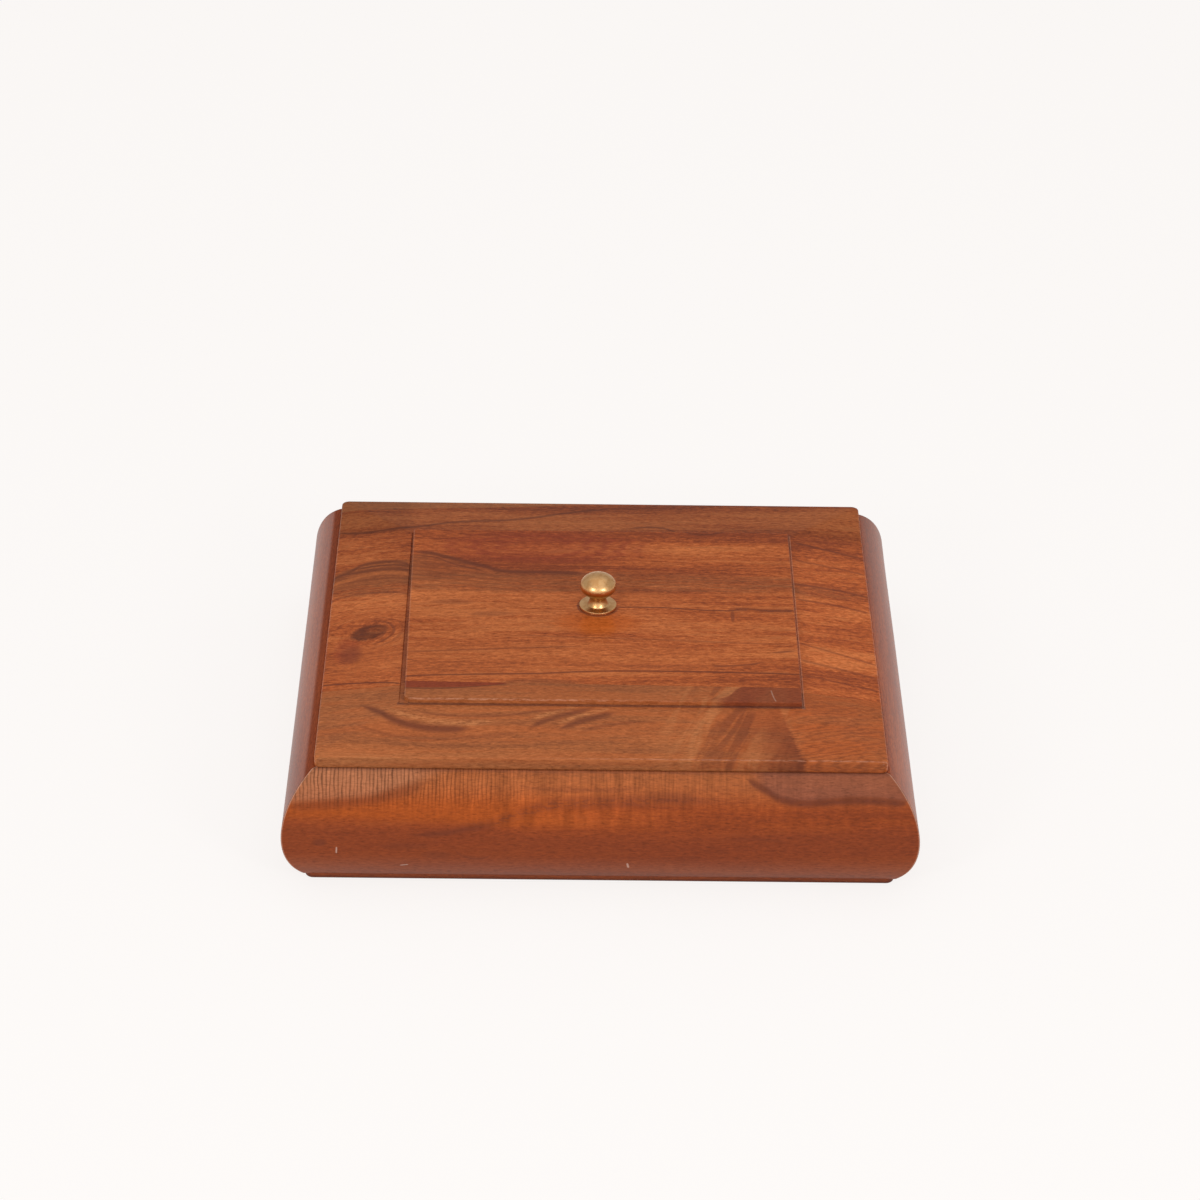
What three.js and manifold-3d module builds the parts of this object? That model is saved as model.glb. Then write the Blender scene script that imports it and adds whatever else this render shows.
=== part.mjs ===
// Wooden storage box: four mitred walls with rounded outer faces, a base board, and a lift-off
// lid with a raised field, two battens underneath and a turned brass knob.
// Millimetres, +Z up. The origin is the middle of the underside, the front faces -Y.

import * as THREE from 'three';
import { mergeVertices } from 'three/addons/utils/BufferGeometryUtils.js';
import Module from 'manifold-3d';

const wasm = await Module();
wasm.setup();

// Box: overall sizes are across the bulge of the walls
const boxWidth = 305;
const boxDepth = 285;
const wallHeight = 56.6;
const rimThickness = 10.5;
const bulgeHeight = 25.6;         // widest line of the wall, above its foot
const rimInset = 14.7;           // rim's outer edge, in from the bulge
const footInset = 9.6;           // foot's outer edge, in from the bulge
const baseThickness = 3.4;
const baseReveal = 0.6;          // base board's edge, in from the foot
const baseCornerRadius = 4;
const baseEdgeRound = 1.2;

// Splines hidden in the mitres
const splineWidth = 12;
const splineThickness = 3;
const splineInset = 6;           // from the inner faces to the middle of the spline
const splineStop = 12;           // solid wood left between the spline and the rim

// Lid
const lidReveal = 0.9;           // rim that shows outside the lid
const lidEdgeThickness = 5.5;
const lidEdgeRound = 1.5;
const lidCornerRadius = 3;
const sideMargin = 39.6;
const frontMargin = 42.9;
const marginRise = 4.8;          // the margin climbs this much from the edge to the field
const fieldRise = 2.5;
const fieldArris = 0.8;
const frontBoardWidth = 57.8;    // at the lid's middle
const seamSlant = 4;             // the joint of the two boards comes forward this much, left to right

// Battens under the lid, which keep it flat and hold it in place between the walls
const battenWidth = 18;
const battenThickness = 8;
const battenClearance = 0.75;
const battenScrewInset = 28;     // from the batten's ends to its outer screws
const screwSkin = 1.5;           // wood left over a batten screw's tip, at the lid's thin edge

// Countersunk wood screws
const woodScrewHead = 7;
const woodScrewShank = 3.5;
const woodScrewRecess = 0.3;
const baseScrewBite = 21;        // length in the wall
const baseScrewFromCorner = 50;  // from the inner corner of the box
const slotWidth = 0.9;
const slotDepth = 1;

// Knob, set a little behind and to the left of the lid's middle
const knobOffsetX = -1.6;
const knobOffsetY = 6.3;
const flangeDiameter = 18.8;
const flangeThickness = 1.4;
const stemFootDiameter = 13;     // where the stem curves out onto the flange
const coveHeight = 3.4;
const neckDiameter = 8.2;
const neckLength = 2.8;
const headDiameter = 18.4;
const headHeight = 11.4;

// Knob screw and its washer, under the lid
const knobScrewShank = 4;
const knobScrewHead = 8;
const knobScrewHeadHeight = 2.6;
const knobScrewReach = 8;        // length in the knob
const knobScrewHole = 5;
const washerDiameter = 12;
const washerThickness = 1;

// Clearances and cutting
const fitGap = 0.3;              // around a piece that sits in a hole or slot
const glueLine = 0.1;            // between two glued faces
const overcut = 1;               // a cutter runs this far past the face that it opens
const roundSteps = 6;
const wallArcSteps = 12;
const turnedSteps = 32;
const screwSteps = 16;

// Places worked out from the sizes
const footOuterWidth = boxWidth / 2 - footInset;
const footOuterDepth = boxDepth / 2 - footInset;
const innerInset = rimInset + rimThickness;
const innerWidth = boxWidth / 2 - innerInset;
const innerDepth = boxDepth / 2 - innerInset;
const footThickness = innerInset - footInset;
const lidHalfWidth = boxWidth / 2 - rimInset - lidReveal;
const lidHalfDepth = boxDepth / 2 - rimInset - lidReveal;
const fieldTop = lidEdgeThickness + marginRise + fieldRise;
const seam = frontBoardWidth - lidHalfDepth;
const battenCentre = innerWidth - battenClearance - battenWidth / 2;
const battenHalfLength = innerDepth - battenClearance;
const battenScrewRows = [-1, 0, 1].map((side) => side * (battenHalfLength - battenScrewInset));
const battenScrewLength = battenThickness + lidEdgeThickness - screwSkin - woodScrewRecess;
const baseScrewLength = baseThickness + baseScrewBite - woodScrewRecess;

// Finishes
const lidWood = { color: 0xaf5832, roughness: 0.42, metalness: 0 };
const frontBoardWood = { color: 0xa2603e, roughness: 0.42, metalness: 0 };
const wallWood = { color: 0x9c5233, roughness: 0.42, metalness: 0 };
const plainWood = { color: 0xb07a52, roughness: 0.7, metalness: 0 };
const brass = { color: 0xbe965f, roughness: 0.3, metalness: 1 };
const steel = { color: 0xb4b6b8, roughness: 0.35, metalness: 1 };

// Joins a geometry's shared corners and drops the triangles that a turned profile folds on its axis.
function welded(geometry) {
  geometry.deleteAttribute('normal');
  geometry.deleteAttribute('uv');
  const merged = mergeVertices(geometry);
  const corners = merged.getIndex().array;
  const kept = [];
  for (let i = 0; i < corners.length; i += 3) {
    const [a, b, c] = corners.slice(i, i + 3);
    if (a !== b && b !== c && c !== a) kept.push(a, b, c);
  }
  merged.setIndex(kept);
  return merged;
}

function solid(geometry) {
  const merged = welded(geometry);
  const vertProperties = new Float32Array(merged.getAttribute('position').array);
  const triVerts = new Uint32Array(merged.getIndex().array);
  return new wasm.Manifold(new wasm.Mesh({ numProp: 3, vertProperties, triVerts }));
}

function toGeometry(body) {
  const mesh = body.getMesh();
  const geometry = new THREE.BufferGeometry();
  geometry.setAttribute('position', new THREE.BufferAttribute(mesh.vertProperties, 3));
  geometry.setIndex(new THREE.BufferAttribute(mesh.triVerts, 1));
  return geometry;
}

function piece(name, geometry, finish) {
  geometry.computeVertexNormals();
  const mesh = new THREE.Mesh(geometry, new THREE.MeshStandardMaterial(finish));
  mesh.name = name;
  return mesh;
}

// A plan outline in X and Y, made into a prism between two heights.
function prism(outline, low, high) {
  const geometry = new THREE.ExtrudeGeometry(outline, {
    depth: high - low,
    bevelEnabled: false,
    curveSegments: roundSteps,
  });
  return geometry.translate(0, 0, low);
}

// A section in Y and Z, made into a bar along X, centred.
function barAlongX(section, length) {
  const geometry = prism(section, -length / 2, length / 2);
  return geometry.rotateX(Math.PI / 2).rotateZ(Math.PI / 2);
}

// A section in X and Z, made into a bar along Y between two places.
function barAlongY(section, front, back) {
  return prism(section, -back, -front).rotateX(Math.PI / 2);
}

// A profile of radius and height, turned about the Z axis.
function turned(profile, steps) {
  const points = profile.map(([radius, height]) => new THREE.Vector2(radius, height));
  return new THREE.LatheGeometry(points, steps).rotateX(Math.PI / 2);
}

// Points on the circle that leaves the bulge upright and reaches a place inset and a height away.
function bulgeArc(inset, height) {
  const radius = (inset ** 2 + height ** 2) / (2 * inset);
  const sweep = Math.asin(height / radius);
  return Array.from({ length: wallArcSteps }, (unused, step) => {
    const angle = (sweep * (step + 1)) / wallArcSteps;
    return [radius * (1 - Math.cos(angle)), radius * Math.sin(angle)];
  });
}

// Section of the front wall in Y and Z, from its foot up the outer face to the rim.
function wallSection(bulge) {
  const lower = bulgeArc(footInset, bulgeHeight);
  const upper = bulgeArc(rimInset, wallHeight - bulgeHeight);
  const section = new THREE.Shape();
  section.moveTo(innerInset - bulge, 0);
  section.lineTo(innerInset - bulge, wallHeight);
  upper.reverse().forEach(([inset, height]) => section.lineTo(inset - bulge, bulgeHeight + height));
  section.lineTo(-bulge, bulgeHeight);
  lower.forEach(([inset, height]) => section.lineTo(inset - bulge, bulgeHeight - height));
  return section;
}

// Plan of the front wall between its two mitres, which stop half a glue line short of the corner.
function mitredPlan(halfLength, bulge) {
  const glueSetback = glueLine * Math.SQRT1_2;
  const outer = bulge + overcut;
  const inner = bulge - innerInset - overcut;
  const reach = (depth) => halfLength - bulge + depth - glueSetback;
  const plan = new THREE.Shape();
  plan.moveTo(-reach(outer), -outer);
  plan.lineTo(reach(outer), -outer);
  plan.lineTo(reach(inner), -inner);
  plan.lineTo(-reach(inner), -inner);
  return plan;
}

// A spline, or with a gap the slot that it sits in, standing on the foot of the walls.
function splineBlock(gap) {
  const height = wallHeight - splineStop;
  const drop = gap > 0 ? overcut : 0;
  const block = new THREE.BoxGeometry(
    splineWidth + 2 * gap,
    splineThickness + 2 * gap,
    height + gap + drop,
  );
  return block.translate(0, 0, (height + gap - drop) / 2);
}

// A countersunk screw, head down, or with a gap the hole that it needs, open below the head.
function screwBody(length, gap) {
  const head = woodScrewHead / 2 + gap;
  const shank = woodScrewShank / 2 + gap;
  const tip = 2 * shank;
  const mouth = gap > 0 ? -woodScrewRecess - overcut : 0;
  const profile = [
    [0, mouth],
    [head, mouth],
    [head, gap],
    [shank, gap + head - shank],
    [shank, length + gap - tip],
    [0, length + gap],
  ];
  const points = gap > 0 ? profile : profile.filter((point, row) => row !== 2);
  return solid(turned(points, screwSteps));
}

function slottedScrew(length) {
  const slot = new THREE.BoxGeometry(woodScrewHead + overcut, slotWidth, 2 * slotDepth);
  return toGeometry(screwBody(length, 0).subtract(solid(slot)));
}

function screwHole(length, x, y, z) {
  return screwBody(length, fitGap).translate([x, y, z]);
}

// Screw places along the front wall, in its own frame.
function baseScrewPlaces(halfLength) {
  const reach = halfLength - innerInset - baseScrewFromCorner;
  return [-reach, reach];
}

// One wall as the front one stands: foot at height 0, outer face towards -Y.
function makeWall(halfLength, bulge) {
  const bar = solid(barAlongX(wallSection(bulge), 2 * (halfLength + overcut)));
  let wall = bar.intersect(solid(prism(mitredPlan(halfLength, bulge), -overcut, wallHeight + overcut)));
  const cornerX = halfLength - innerInset + splineInset;
  const cornerY = innerInset - bulge - splineInset;
  for (const side of [-1, 1]) {
    const slot = splineBlock(fitGap).rotateZ((side * Math.PI) / 4);
    wall = wall.subtract(solid(slot.translate(side * cornerX, cornerY, 0)));
  }
  const footMiddle = innerInset - bulge - footThickness / 2;
  for (const x of baseScrewPlaces(halfLength)) {
    wall = wall.subtract(screwHole(baseScrewLength, x, footMiddle, woodScrewRecess - baseThickness));
  }
  return toGeometry(wall);
}

// The four walls: which way each one is turned, and its half length and bulge.
const walls = [
  { name: 'front', turn: 0, halfLength: boxWidth / 2, bulge: boxDepth / 2 },
  { name: 'right', turn: 1, halfLength: boxDepth / 2, bulge: boxWidth / 2 },
  { name: 'back', turn: 2, halfLength: boxWidth / 2, bulge: boxDepth / 2 },
  { name: 'left', turn: 3, halfLength: boxDepth / 2, bulge: boxWidth / 2 },
];

function baseScrewPoints(wall) {
  const footMiddle = innerInset - wall.bulge - footThickness / 2;
  const axis = new THREE.Vector3(0, 0, 1);
  return baseScrewPlaces(wall.halfLength).map((x) => {
    const place = new THREE.Vector3(x, footMiddle, woodScrewRecess);
    return place.applyAxisAngle(axis, (wall.turn * Math.PI) / 2);
  });
}

function makeBaseBoard() {
  const plan = roundedPlan(footOuterWidth - baseReveal, footOuterDepth - baseReveal, baseCornerRadius);
  const board = new THREE.ExtrudeGeometry(plan, {
    depth: baseThickness - 2 * baseEdgeRound,
    bevelThickness: baseEdgeRound,
    bevelSize: baseEdgeRound,
    bevelOffset: -baseEdgeRound,
    bevelSegments: roundSteps / 2,
    curveSegments: roundSteps,
  });
  let body = solid(board.translate(0, 0, baseEdgeRound));
  for (const wall of walls) {
    for (const place of baseScrewPoints(wall)) {
      body = body.subtract(screwHole(baseScrewLength, place.x, place.y, place.z));
    }
  }
  return toGeometry(body);
}

// Cross-section of the lid: a rounded edge, a margin that climbs inwards, and the raised field.
function raisedSection(half, margin) {
  const slope = Math.atan2(marginRise, margin);
  const marginTop = lidEdgeThickness + marginRise;
  const edge = [half - lidEdgeRound * Math.cos(slope), lidEdgeThickness + lidEdgeRound * Math.sin(slope)];
  const foot = half - margin;
  const section = new THREE.Shape();
  section.moveTo(-half, 0);
  section.lineTo(half, 0);
  section.lineTo(half, lidEdgeThickness - lidEdgeRound);
  section.quadraticCurveTo(half, lidEdgeThickness, edge[0], edge[1]);
  section.lineTo(foot, marginTop);
  section.lineTo(foot, fieldTop - fieldArris);
  section.quadraticCurveTo(foot, fieldTop, foot - fieldArris, fieldTop);
  section.lineTo(fieldArris - foot, fieldTop);
  section.quadraticCurveTo(-foot, fieldTop, -foot, fieldTop - fieldArris);
  section.lineTo(-foot, marginTop);
  section.lineTo(-edge[0], edge[1]);
  section.quadraticCurveTo(-half, lidEdgeThickness, -half, lidEdgeThickness - lidEdgeRound);
  return section;
}

function roundedPlan(halfWidth, halfDepth, radius) {
  const x = halfWidth - radius;
  const y = halfDepth - radius;
  const quarter = Math.PI / 2;
  const plan = new THREE.Shape();
  plan.absarc(x, -y, radius, -quarter, 0);
  plan.absarc(x, y, radius, 0, quarter);
  plan.absarc(-x, y, radius, quarter, 2 * quarter);
  plan.absarc(-x, -y, radius, 2 * quarter, 3 * quarter);
  return plan;
}

// Plan of a strip across the lid. Each of its two lines is given by its Y at the left and at the right.
function stripPlan(front, back) {
  const plan = new THREE.Shape();
  plan.moveTo(-lidHalfWidth - overcut, front[0]);
  plan.lineTo(lidHalfWidth + overcut, front[1]);
  plan.lineTo(lidHalfWidth + overcut, back[1]);
  plan.lineTo(-lidHalfWidth - overcut, back[0]);
  return plan;
}

// The strip of the lid between two lines, with its holes, underside at height 0.
function lidBoard(front, back, drillings) {
  const reach = lidHalfDepth + overcut;
  const along = solid(barAlongY(raisedSection(lidHalfWidth, sideMargin), -reach, reach));
  const across = solid(barAlongX(raisedSection(lidHalfDepth, frontMargin), 2 * (lidHalfWidth + overcut)));
  const plan = roundedPlan(lidHalfWidth, lidHalfDepth, lidCornerRadius);
  const strip = solid(prism(stripPlan(front, back), -overcut, fieldTop + overcut));
  let board = along.intersect(across).intersect(solid(prism(plan, -overcut, fieldTop + overcut)));
  board = board.intersect(strip);
  for (const drilling of drillings) board = board.subtract(drilling);
  return toGeometry(board);
}

function knobScrewDrilling() {
  const hole = knobScrewHole / 2;
  const profile = [[0, -overcut], [hole, -overcut], [hole, fieldTop + overcut], [0, fieldTop + overcut]];
  return solid(turned(profile, screwSteps).translate(knobOffsetX, knobOffsetY, 0));
}

function battenScrewHole(x, y) {
  return screwHole(battenScrewLength, x, y, woodScrewRecess - battenThickness);
}

function makeBatten(x) {
  const block = new THREE.BoxGeometry(battenWidth, 2 * battenHalfLength, battenThickness);
  let body = solid(block.translate(x, 0, -battenThickness / 2));
  for (const y of battenScrewRows) body = body.subtract(battenScrewHole(x, y));
  return toGeometry(body);
}

// Knob: a thin flange, a stem that curves up out of it, and a flattened ball.
function makeKnob() {
  const bore = knobScrewShank / 2 + fitGap;
  const neck = neckDiameter / 2;
  const head = headDiameter / 2;
  const stemFoot = stemFootDiameter / 2;
  const neckTop = flangeThickness + coveHeight + neckLength;
  const neckAngle = Math.asin(neck / head);
  const headCentre = neckTop + (headHeight / 2) * Math.cos(neckAngle);
  const boreTop = knobScrewReach + overcut;
  const profile = [[0, boreTop], [bore, boreTop - bore / 2], [bore, 0], [flangeDiameter / 2, 0]];
  profile.push([flangeDiameter / 2, flangeThickness]);
  for (let step = 0; step <= roundSteps; step += 1) {
    const angle = ((Math.PI / 2) * step) / roundSteps;
    const radius = stemFoot - (stemFoot - neck) * Math.sin(angle);
    profile.push([radius, flangeThickness + coveHeight * (1 - Math.cos(angle))]);
  }
  for (let step = 0; step <= 2 * roundSteps; step += 1) {
    const angle = neckAngle + ((Math.PI - neckAngle) * step) / (2 * roundSteps);
    const radius = step === 2 * roundSteps ? 0 : head * Math.sin(angle);
    profile.push([radius, headCentre - (headHeight / 2) * Math.cos(angle)]);
  }
  return toGeometry(solid(turned(profile, turnedSteps)));
}

// Round-headed screw, head down, its top face level with height 0 under the washer.
function makeKnobScrew() {
  const head = knobScrewHead / 2;
  const shank = knobScrewShank / 2;
  const top = washerThickness + fieldTop + knobScrewReach;
  const slot = new THREE.BoxGeometry(knobScrewHead + overcut, slotWidth, 2 * slotDepth);
  const profile = [
    [0, -knobScrewHeadHeight],
    [head * 0.75, -knobScrewHeadHeight],
    [head, -knobScrewHeadHeight / 2],
    [head, 0],
    [shank, 0],
    [shank, top],
    [0, top],
  ];
  const body = solid(turned(profile, screwSteps));
  return toGeometry(body.subtract(solid(slot.translate(0, 0, -knobScrewHeadHeight))));
}

function makeWasher() {
  const inner = knobScrewHole / 2;
  const outer = washerDiameter / 2;
  const profile = [[inner, -washerThickness], [outer, -washerThickness], [outer, 0], [inner, 0]];
  return toGeometry(solid(turned([...profile, profile[0]], screwSteps)));
}

// Assembly
const box = new THREE.Group();
box.add(piece('base_board', makeBaseBoard(), wallWood));

walls.forEach((wall) => {
  const mesh = piece(`${wall.name}_wall`, makeWall(wall.halfLength, wall.bulge), wallWood);
  mesh.position.z = baseThickness;
  mesh.rotation.z = (wall.turn * Math.PI) / 2;
  box.add(mesh);
  baseScrewPoints(wall).forEach((place, row) => {
    const screw = piece(`${wall.name}_wall_screw_${row + 1}`, slottedScrew(baseScrewLength), steel);
    screw.position.copy(place);
    box.add(screw);
  });
});

for (const [endName, endSide] of [['front', -1], ['back', 1]]) {
  for (const [sideName, side] of [['left', -1], ['right', 1]]) {
    const spline = piece(`${endName}_${sideName}_corner_spline`, splineBlock(0), plainWood);
    const x = side * (innerWidth + splineInset);
    const y = endSide * (innerDepth + splineInset);
    spline.position.set(x, y, baseThickness);
    spline.rotation.z = (-side * endSide * Math.PI) / 4;
    box.add(spline);
  }
}

const lid = new THREE.Group();
lid.position.z = baseThickness + wallHeight;
const battenSides = [['left', -1], ['right', 1]];
const lidScrewHoles = battenSides.flatMap(([, side]) =>
  battenScrewRows.map((y) => battenScrewHole(side * battenCentre, y)));
const drillings = [...lidScrewHoles, knobScrewDrilling()];
const frontLine = [-lidHalfDepth - overcut, -lidHalfDepth - overcut];
const backLine = [lidHalfDepth + overcut, lidHalfDepth + overcut];
const seamLine = (side) => [seamSlant / 2, -seamSlant / 2].map((turn) => seam + turn + (side * glueLine) / 2);
lid.add(piece('lid_front_board', lidBoard(frontLine, seamLine(-1), drillings), frontBoardWood));
lid.add(piece('lid_back_board', lidBoard(seamLine(1), backLine, drillings), lidWood));

for (const [sideName, side] of battenSides) {
  const x = side * battenCentre;
  lid.add(piece(`${sideName}_batten`, makeBatten(x), plainWood));
  battenScrewRows.forEach((y, row) => {
    const screw = piece(`${sideName}_batten_screw_${row + 1}`, slottedScrew(battenScrewLength), steel);
    screw.position.set(x, y, woodScrewRecess - battenThickness);
    lid.add(screw);
  });
}

const knob = piece('knob', makeKnob(), brass);
knob.position.set(knobOffsetX, knobOffsetY, fieldTop);
const washer = piece('knob_washer', makeWasher(), steel);
washer.position.set(knobOffsetX, knobOffsetY, 0);
const knobScrew = piece('knob_screw', makeKnobScrew(), steel);
knobScrew.position.set(knobOffsetX, knobOffsetY, -washerThickness);
lid.add(knob, washer, knobScrew);
box.add(lid);

export default box;
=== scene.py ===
import math
from contextlib import contextmanager
from functools import reduce

import bmesh
import bpy
from bpy.props import FloatProperty, FloatVectorProperty, PointerProperty
from mathutils import Matrix, Vector, noise


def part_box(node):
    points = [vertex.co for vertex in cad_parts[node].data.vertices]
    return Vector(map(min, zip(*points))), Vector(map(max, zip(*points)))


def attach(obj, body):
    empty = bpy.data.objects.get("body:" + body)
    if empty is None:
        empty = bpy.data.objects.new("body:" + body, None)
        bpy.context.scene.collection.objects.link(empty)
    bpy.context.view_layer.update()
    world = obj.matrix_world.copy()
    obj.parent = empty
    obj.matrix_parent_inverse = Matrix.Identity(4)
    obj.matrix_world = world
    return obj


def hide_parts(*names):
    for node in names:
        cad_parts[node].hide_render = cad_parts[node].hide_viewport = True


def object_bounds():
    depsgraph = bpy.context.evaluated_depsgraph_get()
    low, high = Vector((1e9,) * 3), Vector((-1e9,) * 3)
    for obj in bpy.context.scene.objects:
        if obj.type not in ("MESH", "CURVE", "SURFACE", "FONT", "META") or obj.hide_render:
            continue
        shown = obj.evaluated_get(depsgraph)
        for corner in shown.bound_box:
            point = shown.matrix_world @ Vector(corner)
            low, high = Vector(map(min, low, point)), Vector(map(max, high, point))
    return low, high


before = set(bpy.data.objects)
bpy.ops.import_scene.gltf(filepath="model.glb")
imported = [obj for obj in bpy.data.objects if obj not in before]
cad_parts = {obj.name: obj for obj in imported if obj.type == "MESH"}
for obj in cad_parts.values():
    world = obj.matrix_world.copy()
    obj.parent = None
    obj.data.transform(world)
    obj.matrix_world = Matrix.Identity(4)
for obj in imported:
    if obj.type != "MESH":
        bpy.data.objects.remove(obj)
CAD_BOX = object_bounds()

bl_info = {
    "name": "Wooden storage box",
    "version": (1, 0, 0),
    "blender": (4, 5, 0),
    "location": "View3D > Sidebar > Storage Box",
    "description": "Dresses the packed storage box in varnished wood and turned brass",
    "category": "Object",
}

MM = 0.001
SIDES = (("front", 0), ("right", 1), ("back", 2), ("left", 3))


def linear(red, green, blue):
    """A screen colour, 0 to 255 a channel, as the light that it stands for."""

    def channel(level):
        level /= 255
        return level / 12.92 if level <= 0.04045 else ((level + 0.055) / 1.055) ** 2.4

    return (channel(red), channel(green), channel(blue))


# Sizes and colours that a user would change


def length(name, description, millimetres):
    size = millimetres * MM
    return FloatProperty(
        name=name, description=description, default=size, min=0, unit="LENGTH", precision=5
    )


def colour(name, description, *screen):
    return FloatVectorProperty(
        name=name, description=description, default=linear(*screen), subtype="COLOR", min=0, max=1
    )


def strength(name, description, default, unit="NONE"):
    return FloatProperty(name=name, description=description, default=default, unit=unit)


class StorageBoxSizes(bpy.types.PropertyGroup):
    """Sizes of the shaped pieces that the frame's boxes don't give."""

    bulge_height: length("Bulge height", "Height of the walls' widest line", 29)
    rim_inset: length("Rim inset", "How far the rim's outer edge lies inside the bulge", 14.7)
    foot_inset: length("Foot inset", "How far the foot lies inside the bulge", 9.6)
    wall_foot: length("Wall foot", "Height of the walls' underside, on the base board", 3.4)
    base_round: length("Base rounding", "Rounding of the base board's edges", 1.2)
    base_corner: length("Base corner", "Radius of the base board's corners", 4)
    rim_thickness: length("Rim thickness", "Width of the flat rim", 10.5)
    rim_round: length("Rim rounding", "Rounding of the rim's two edges", 0.6)
    mitre_round: length("Mitre rounding", "Rounding of the walls' mitred edges", 0.42)
    glue_line: length("Glue line", "Gap between two glued faces", 0.1)
    wall_waver: length("Wall waver", "How far the hand-shaped walls waver inwards", 0.25)
    side_margin: length("Side margin", "Width of the lid's sloping margin at the sides", 39.6)
    front_margin: length("Front margin", "Width of that margin at front and back", 42.9)
    lid_edge: length("Lid edge", "Thickness of the lid at its edge", 5.5)
    lid_edge_round: length("Lid edge rounding", "Rounding of the lid's upper edge", 1.5)
    lid_corner: length("Lid corner", "Radius of the lid's four corners", 3)
    margin_rise: length("Margin rise", "Height that the margin climbs", 4.8)
    field_arris: length("Field arris", "Rounding of the raised field's edge", 0.5)
    quirk_width: length("Quirk width", "Width of the groove at the field's foot", 1)
    quirk_spread: length("Quirk spread", "How much the groove at the left widens to the front", 1.7)
    worn_corner: length("Worn corner", "Radius of the field's worn front left corner", 4.2)
    quirk_depth: length("Quirk depth", "Depth of the groove at the field's foot", 0.6)


class StorageBoxColours(bpy.types.PropertyGroup):
    """Colours of the finishes."""

    lid_light: colour("Lid light", "Palest grain of the lid's back board", 194, 110, 60)
    lid_middle: colour("Lid middle", "Middle grain of the lid's back board", 170, 86, 43)
    lid_dark: colour("Lid dark", "Darkest plain grain of the lid's back board", 134, 64, 36)
    front_light: colour("Front light", "Palest grain of the lid's front board", 186, 120, 74)
    front_middle: colour("Front middle", "Middle grain of the lid's front board", 162, 96, 56)
    front_dark: colour("Front dark", "Darkest plain grain of the lid's front board", 128, 75, 47)
    wall_light: colour("Wall light", "Palest grain of the walls", 172, 86, 38)
    wall_middle: colour("Wall middle", "Middle grain of the walls", 150, 70, 33)
    wall_dark: colour("Wall dark", "Darkest plain grain of the walls", 116, 54, 33)
    streak: colour("Streak", "Dark streaks and knots", 96, 49, 36)
    red: colour("Red patch", "Deep red patches in the figure", 142, 60, 38)
    # painted light: the knob's painted reflection on the lid, and the painted light of the front
    # wall's orange band
    glow: colour("Warm glow", "Wood that the knob throws light on", 184, 88, 30)
    line: colour("Grain line", "Thin brown lines in the grain", 112, 60, 38)
    # painted_sheen: painted highlights on mitres, arrises and the lid's front edge, and painted
    # reflection on the front wall
    painted_sheen: colour("Haze", "Varnish that light grazes, at mitres and scuffed edges", 196, 150, 126)
    umber: colour("Umber", "Purple-brown patch at the right of the front wall", 124, 74, 60)
    # shaded_brass: painted shade, brass under the knob's head tinted where shade falls
    shaded_brass: colour("Dull brass", "Brass below the knob's head, where it is duller", 196, 166, 92)
    plain: colour("Plain wood", "Bare wood of battens and corner splines", 150, 98, 62)
    brass: colour("Brass", "Turned brass", 228, 180, 124)
    # painted_shade: painted shade in the grooves, under the lid's front edge and round the knob's
    # flange
    painted_shade: colour("Grime", "Old polish in the grooves", 84, 52, 46)
    steel: colour("Steel", "Zinc-plated screws and washer", 188, 190, 194)
    floor: colour("Floor", "Pale floor and backdrop", 254, 251, 249)


class StorageBoxStudio(bpy.types.PropertyGroup):
    """Light of the studio."""

    lamp_power: strength("Front lamps", "Power of each front lamp", 5.4, "POWER")
    top_power: strength("Overhead lamp", "Power of the lamp above", 5, "POWER")
    world: strength("World", "Strength of the even light all round", 0.62)
    room: strength("Room", "Strength of the world behind the box, as gloss shows it", 0.5)


def sizes():
    return bpy.context.scene.storage_box_sizes


def colours():
    return bpy.context.scene.storage_box_colours


def studio():
    return bpy.context.scene.storage_box_studio


# Shader maths as expressions


def maths(operation, swapped=False):
    """A method that adds a Math node to a value and the terms that it is given."""

    def apply(self, *others):
        terms = (*others, self) if swapped else (self, *others)
        sockets = dict(enumerate(terms))
        return self.surface.add("ShaderNodeMath", {"operation": operation}, sockets)

    return apply


class Value:
    """A node's output that can stand in a Python expression."""

    def __init__(self, surface, socket):
        self.surface = surface
        self.socket = socket

    __add__ = __radd__ = maths("ADD")
    __sub__ = maths("SUBTRACT")
    __rsub__ = maths("SUBTRACT", swapped=True)
    __mul__ = __rmul__ = maths("MULTIPLY")
    __truediv__ = maths("DIVIDE")
    __pow__ = maths("POWER")
    __abs__ = maths("ABSOLUTE")
    sine = maths("SINE")
    larger = maths("MAXIMUM")

    def step(self, low, high):
        """0 below low, 1 above high, with a soft rise between. low above high gives a fall."""
        ends = (low, high, 0.0, 1.0) if low < high else (high, low, 1.0, 0.0)
        sockets = {0: self, **dict(zip((1, 2, 3, 4), ends))}
        return self.surface.add("ShaderNodeMapRange", {"interpolation_type": "SMOOTHSTEP"}, sockets)


def strongest(masks):
    """The largest of several values, at each point."""
    return reduce(Value.larger, masks)


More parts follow.
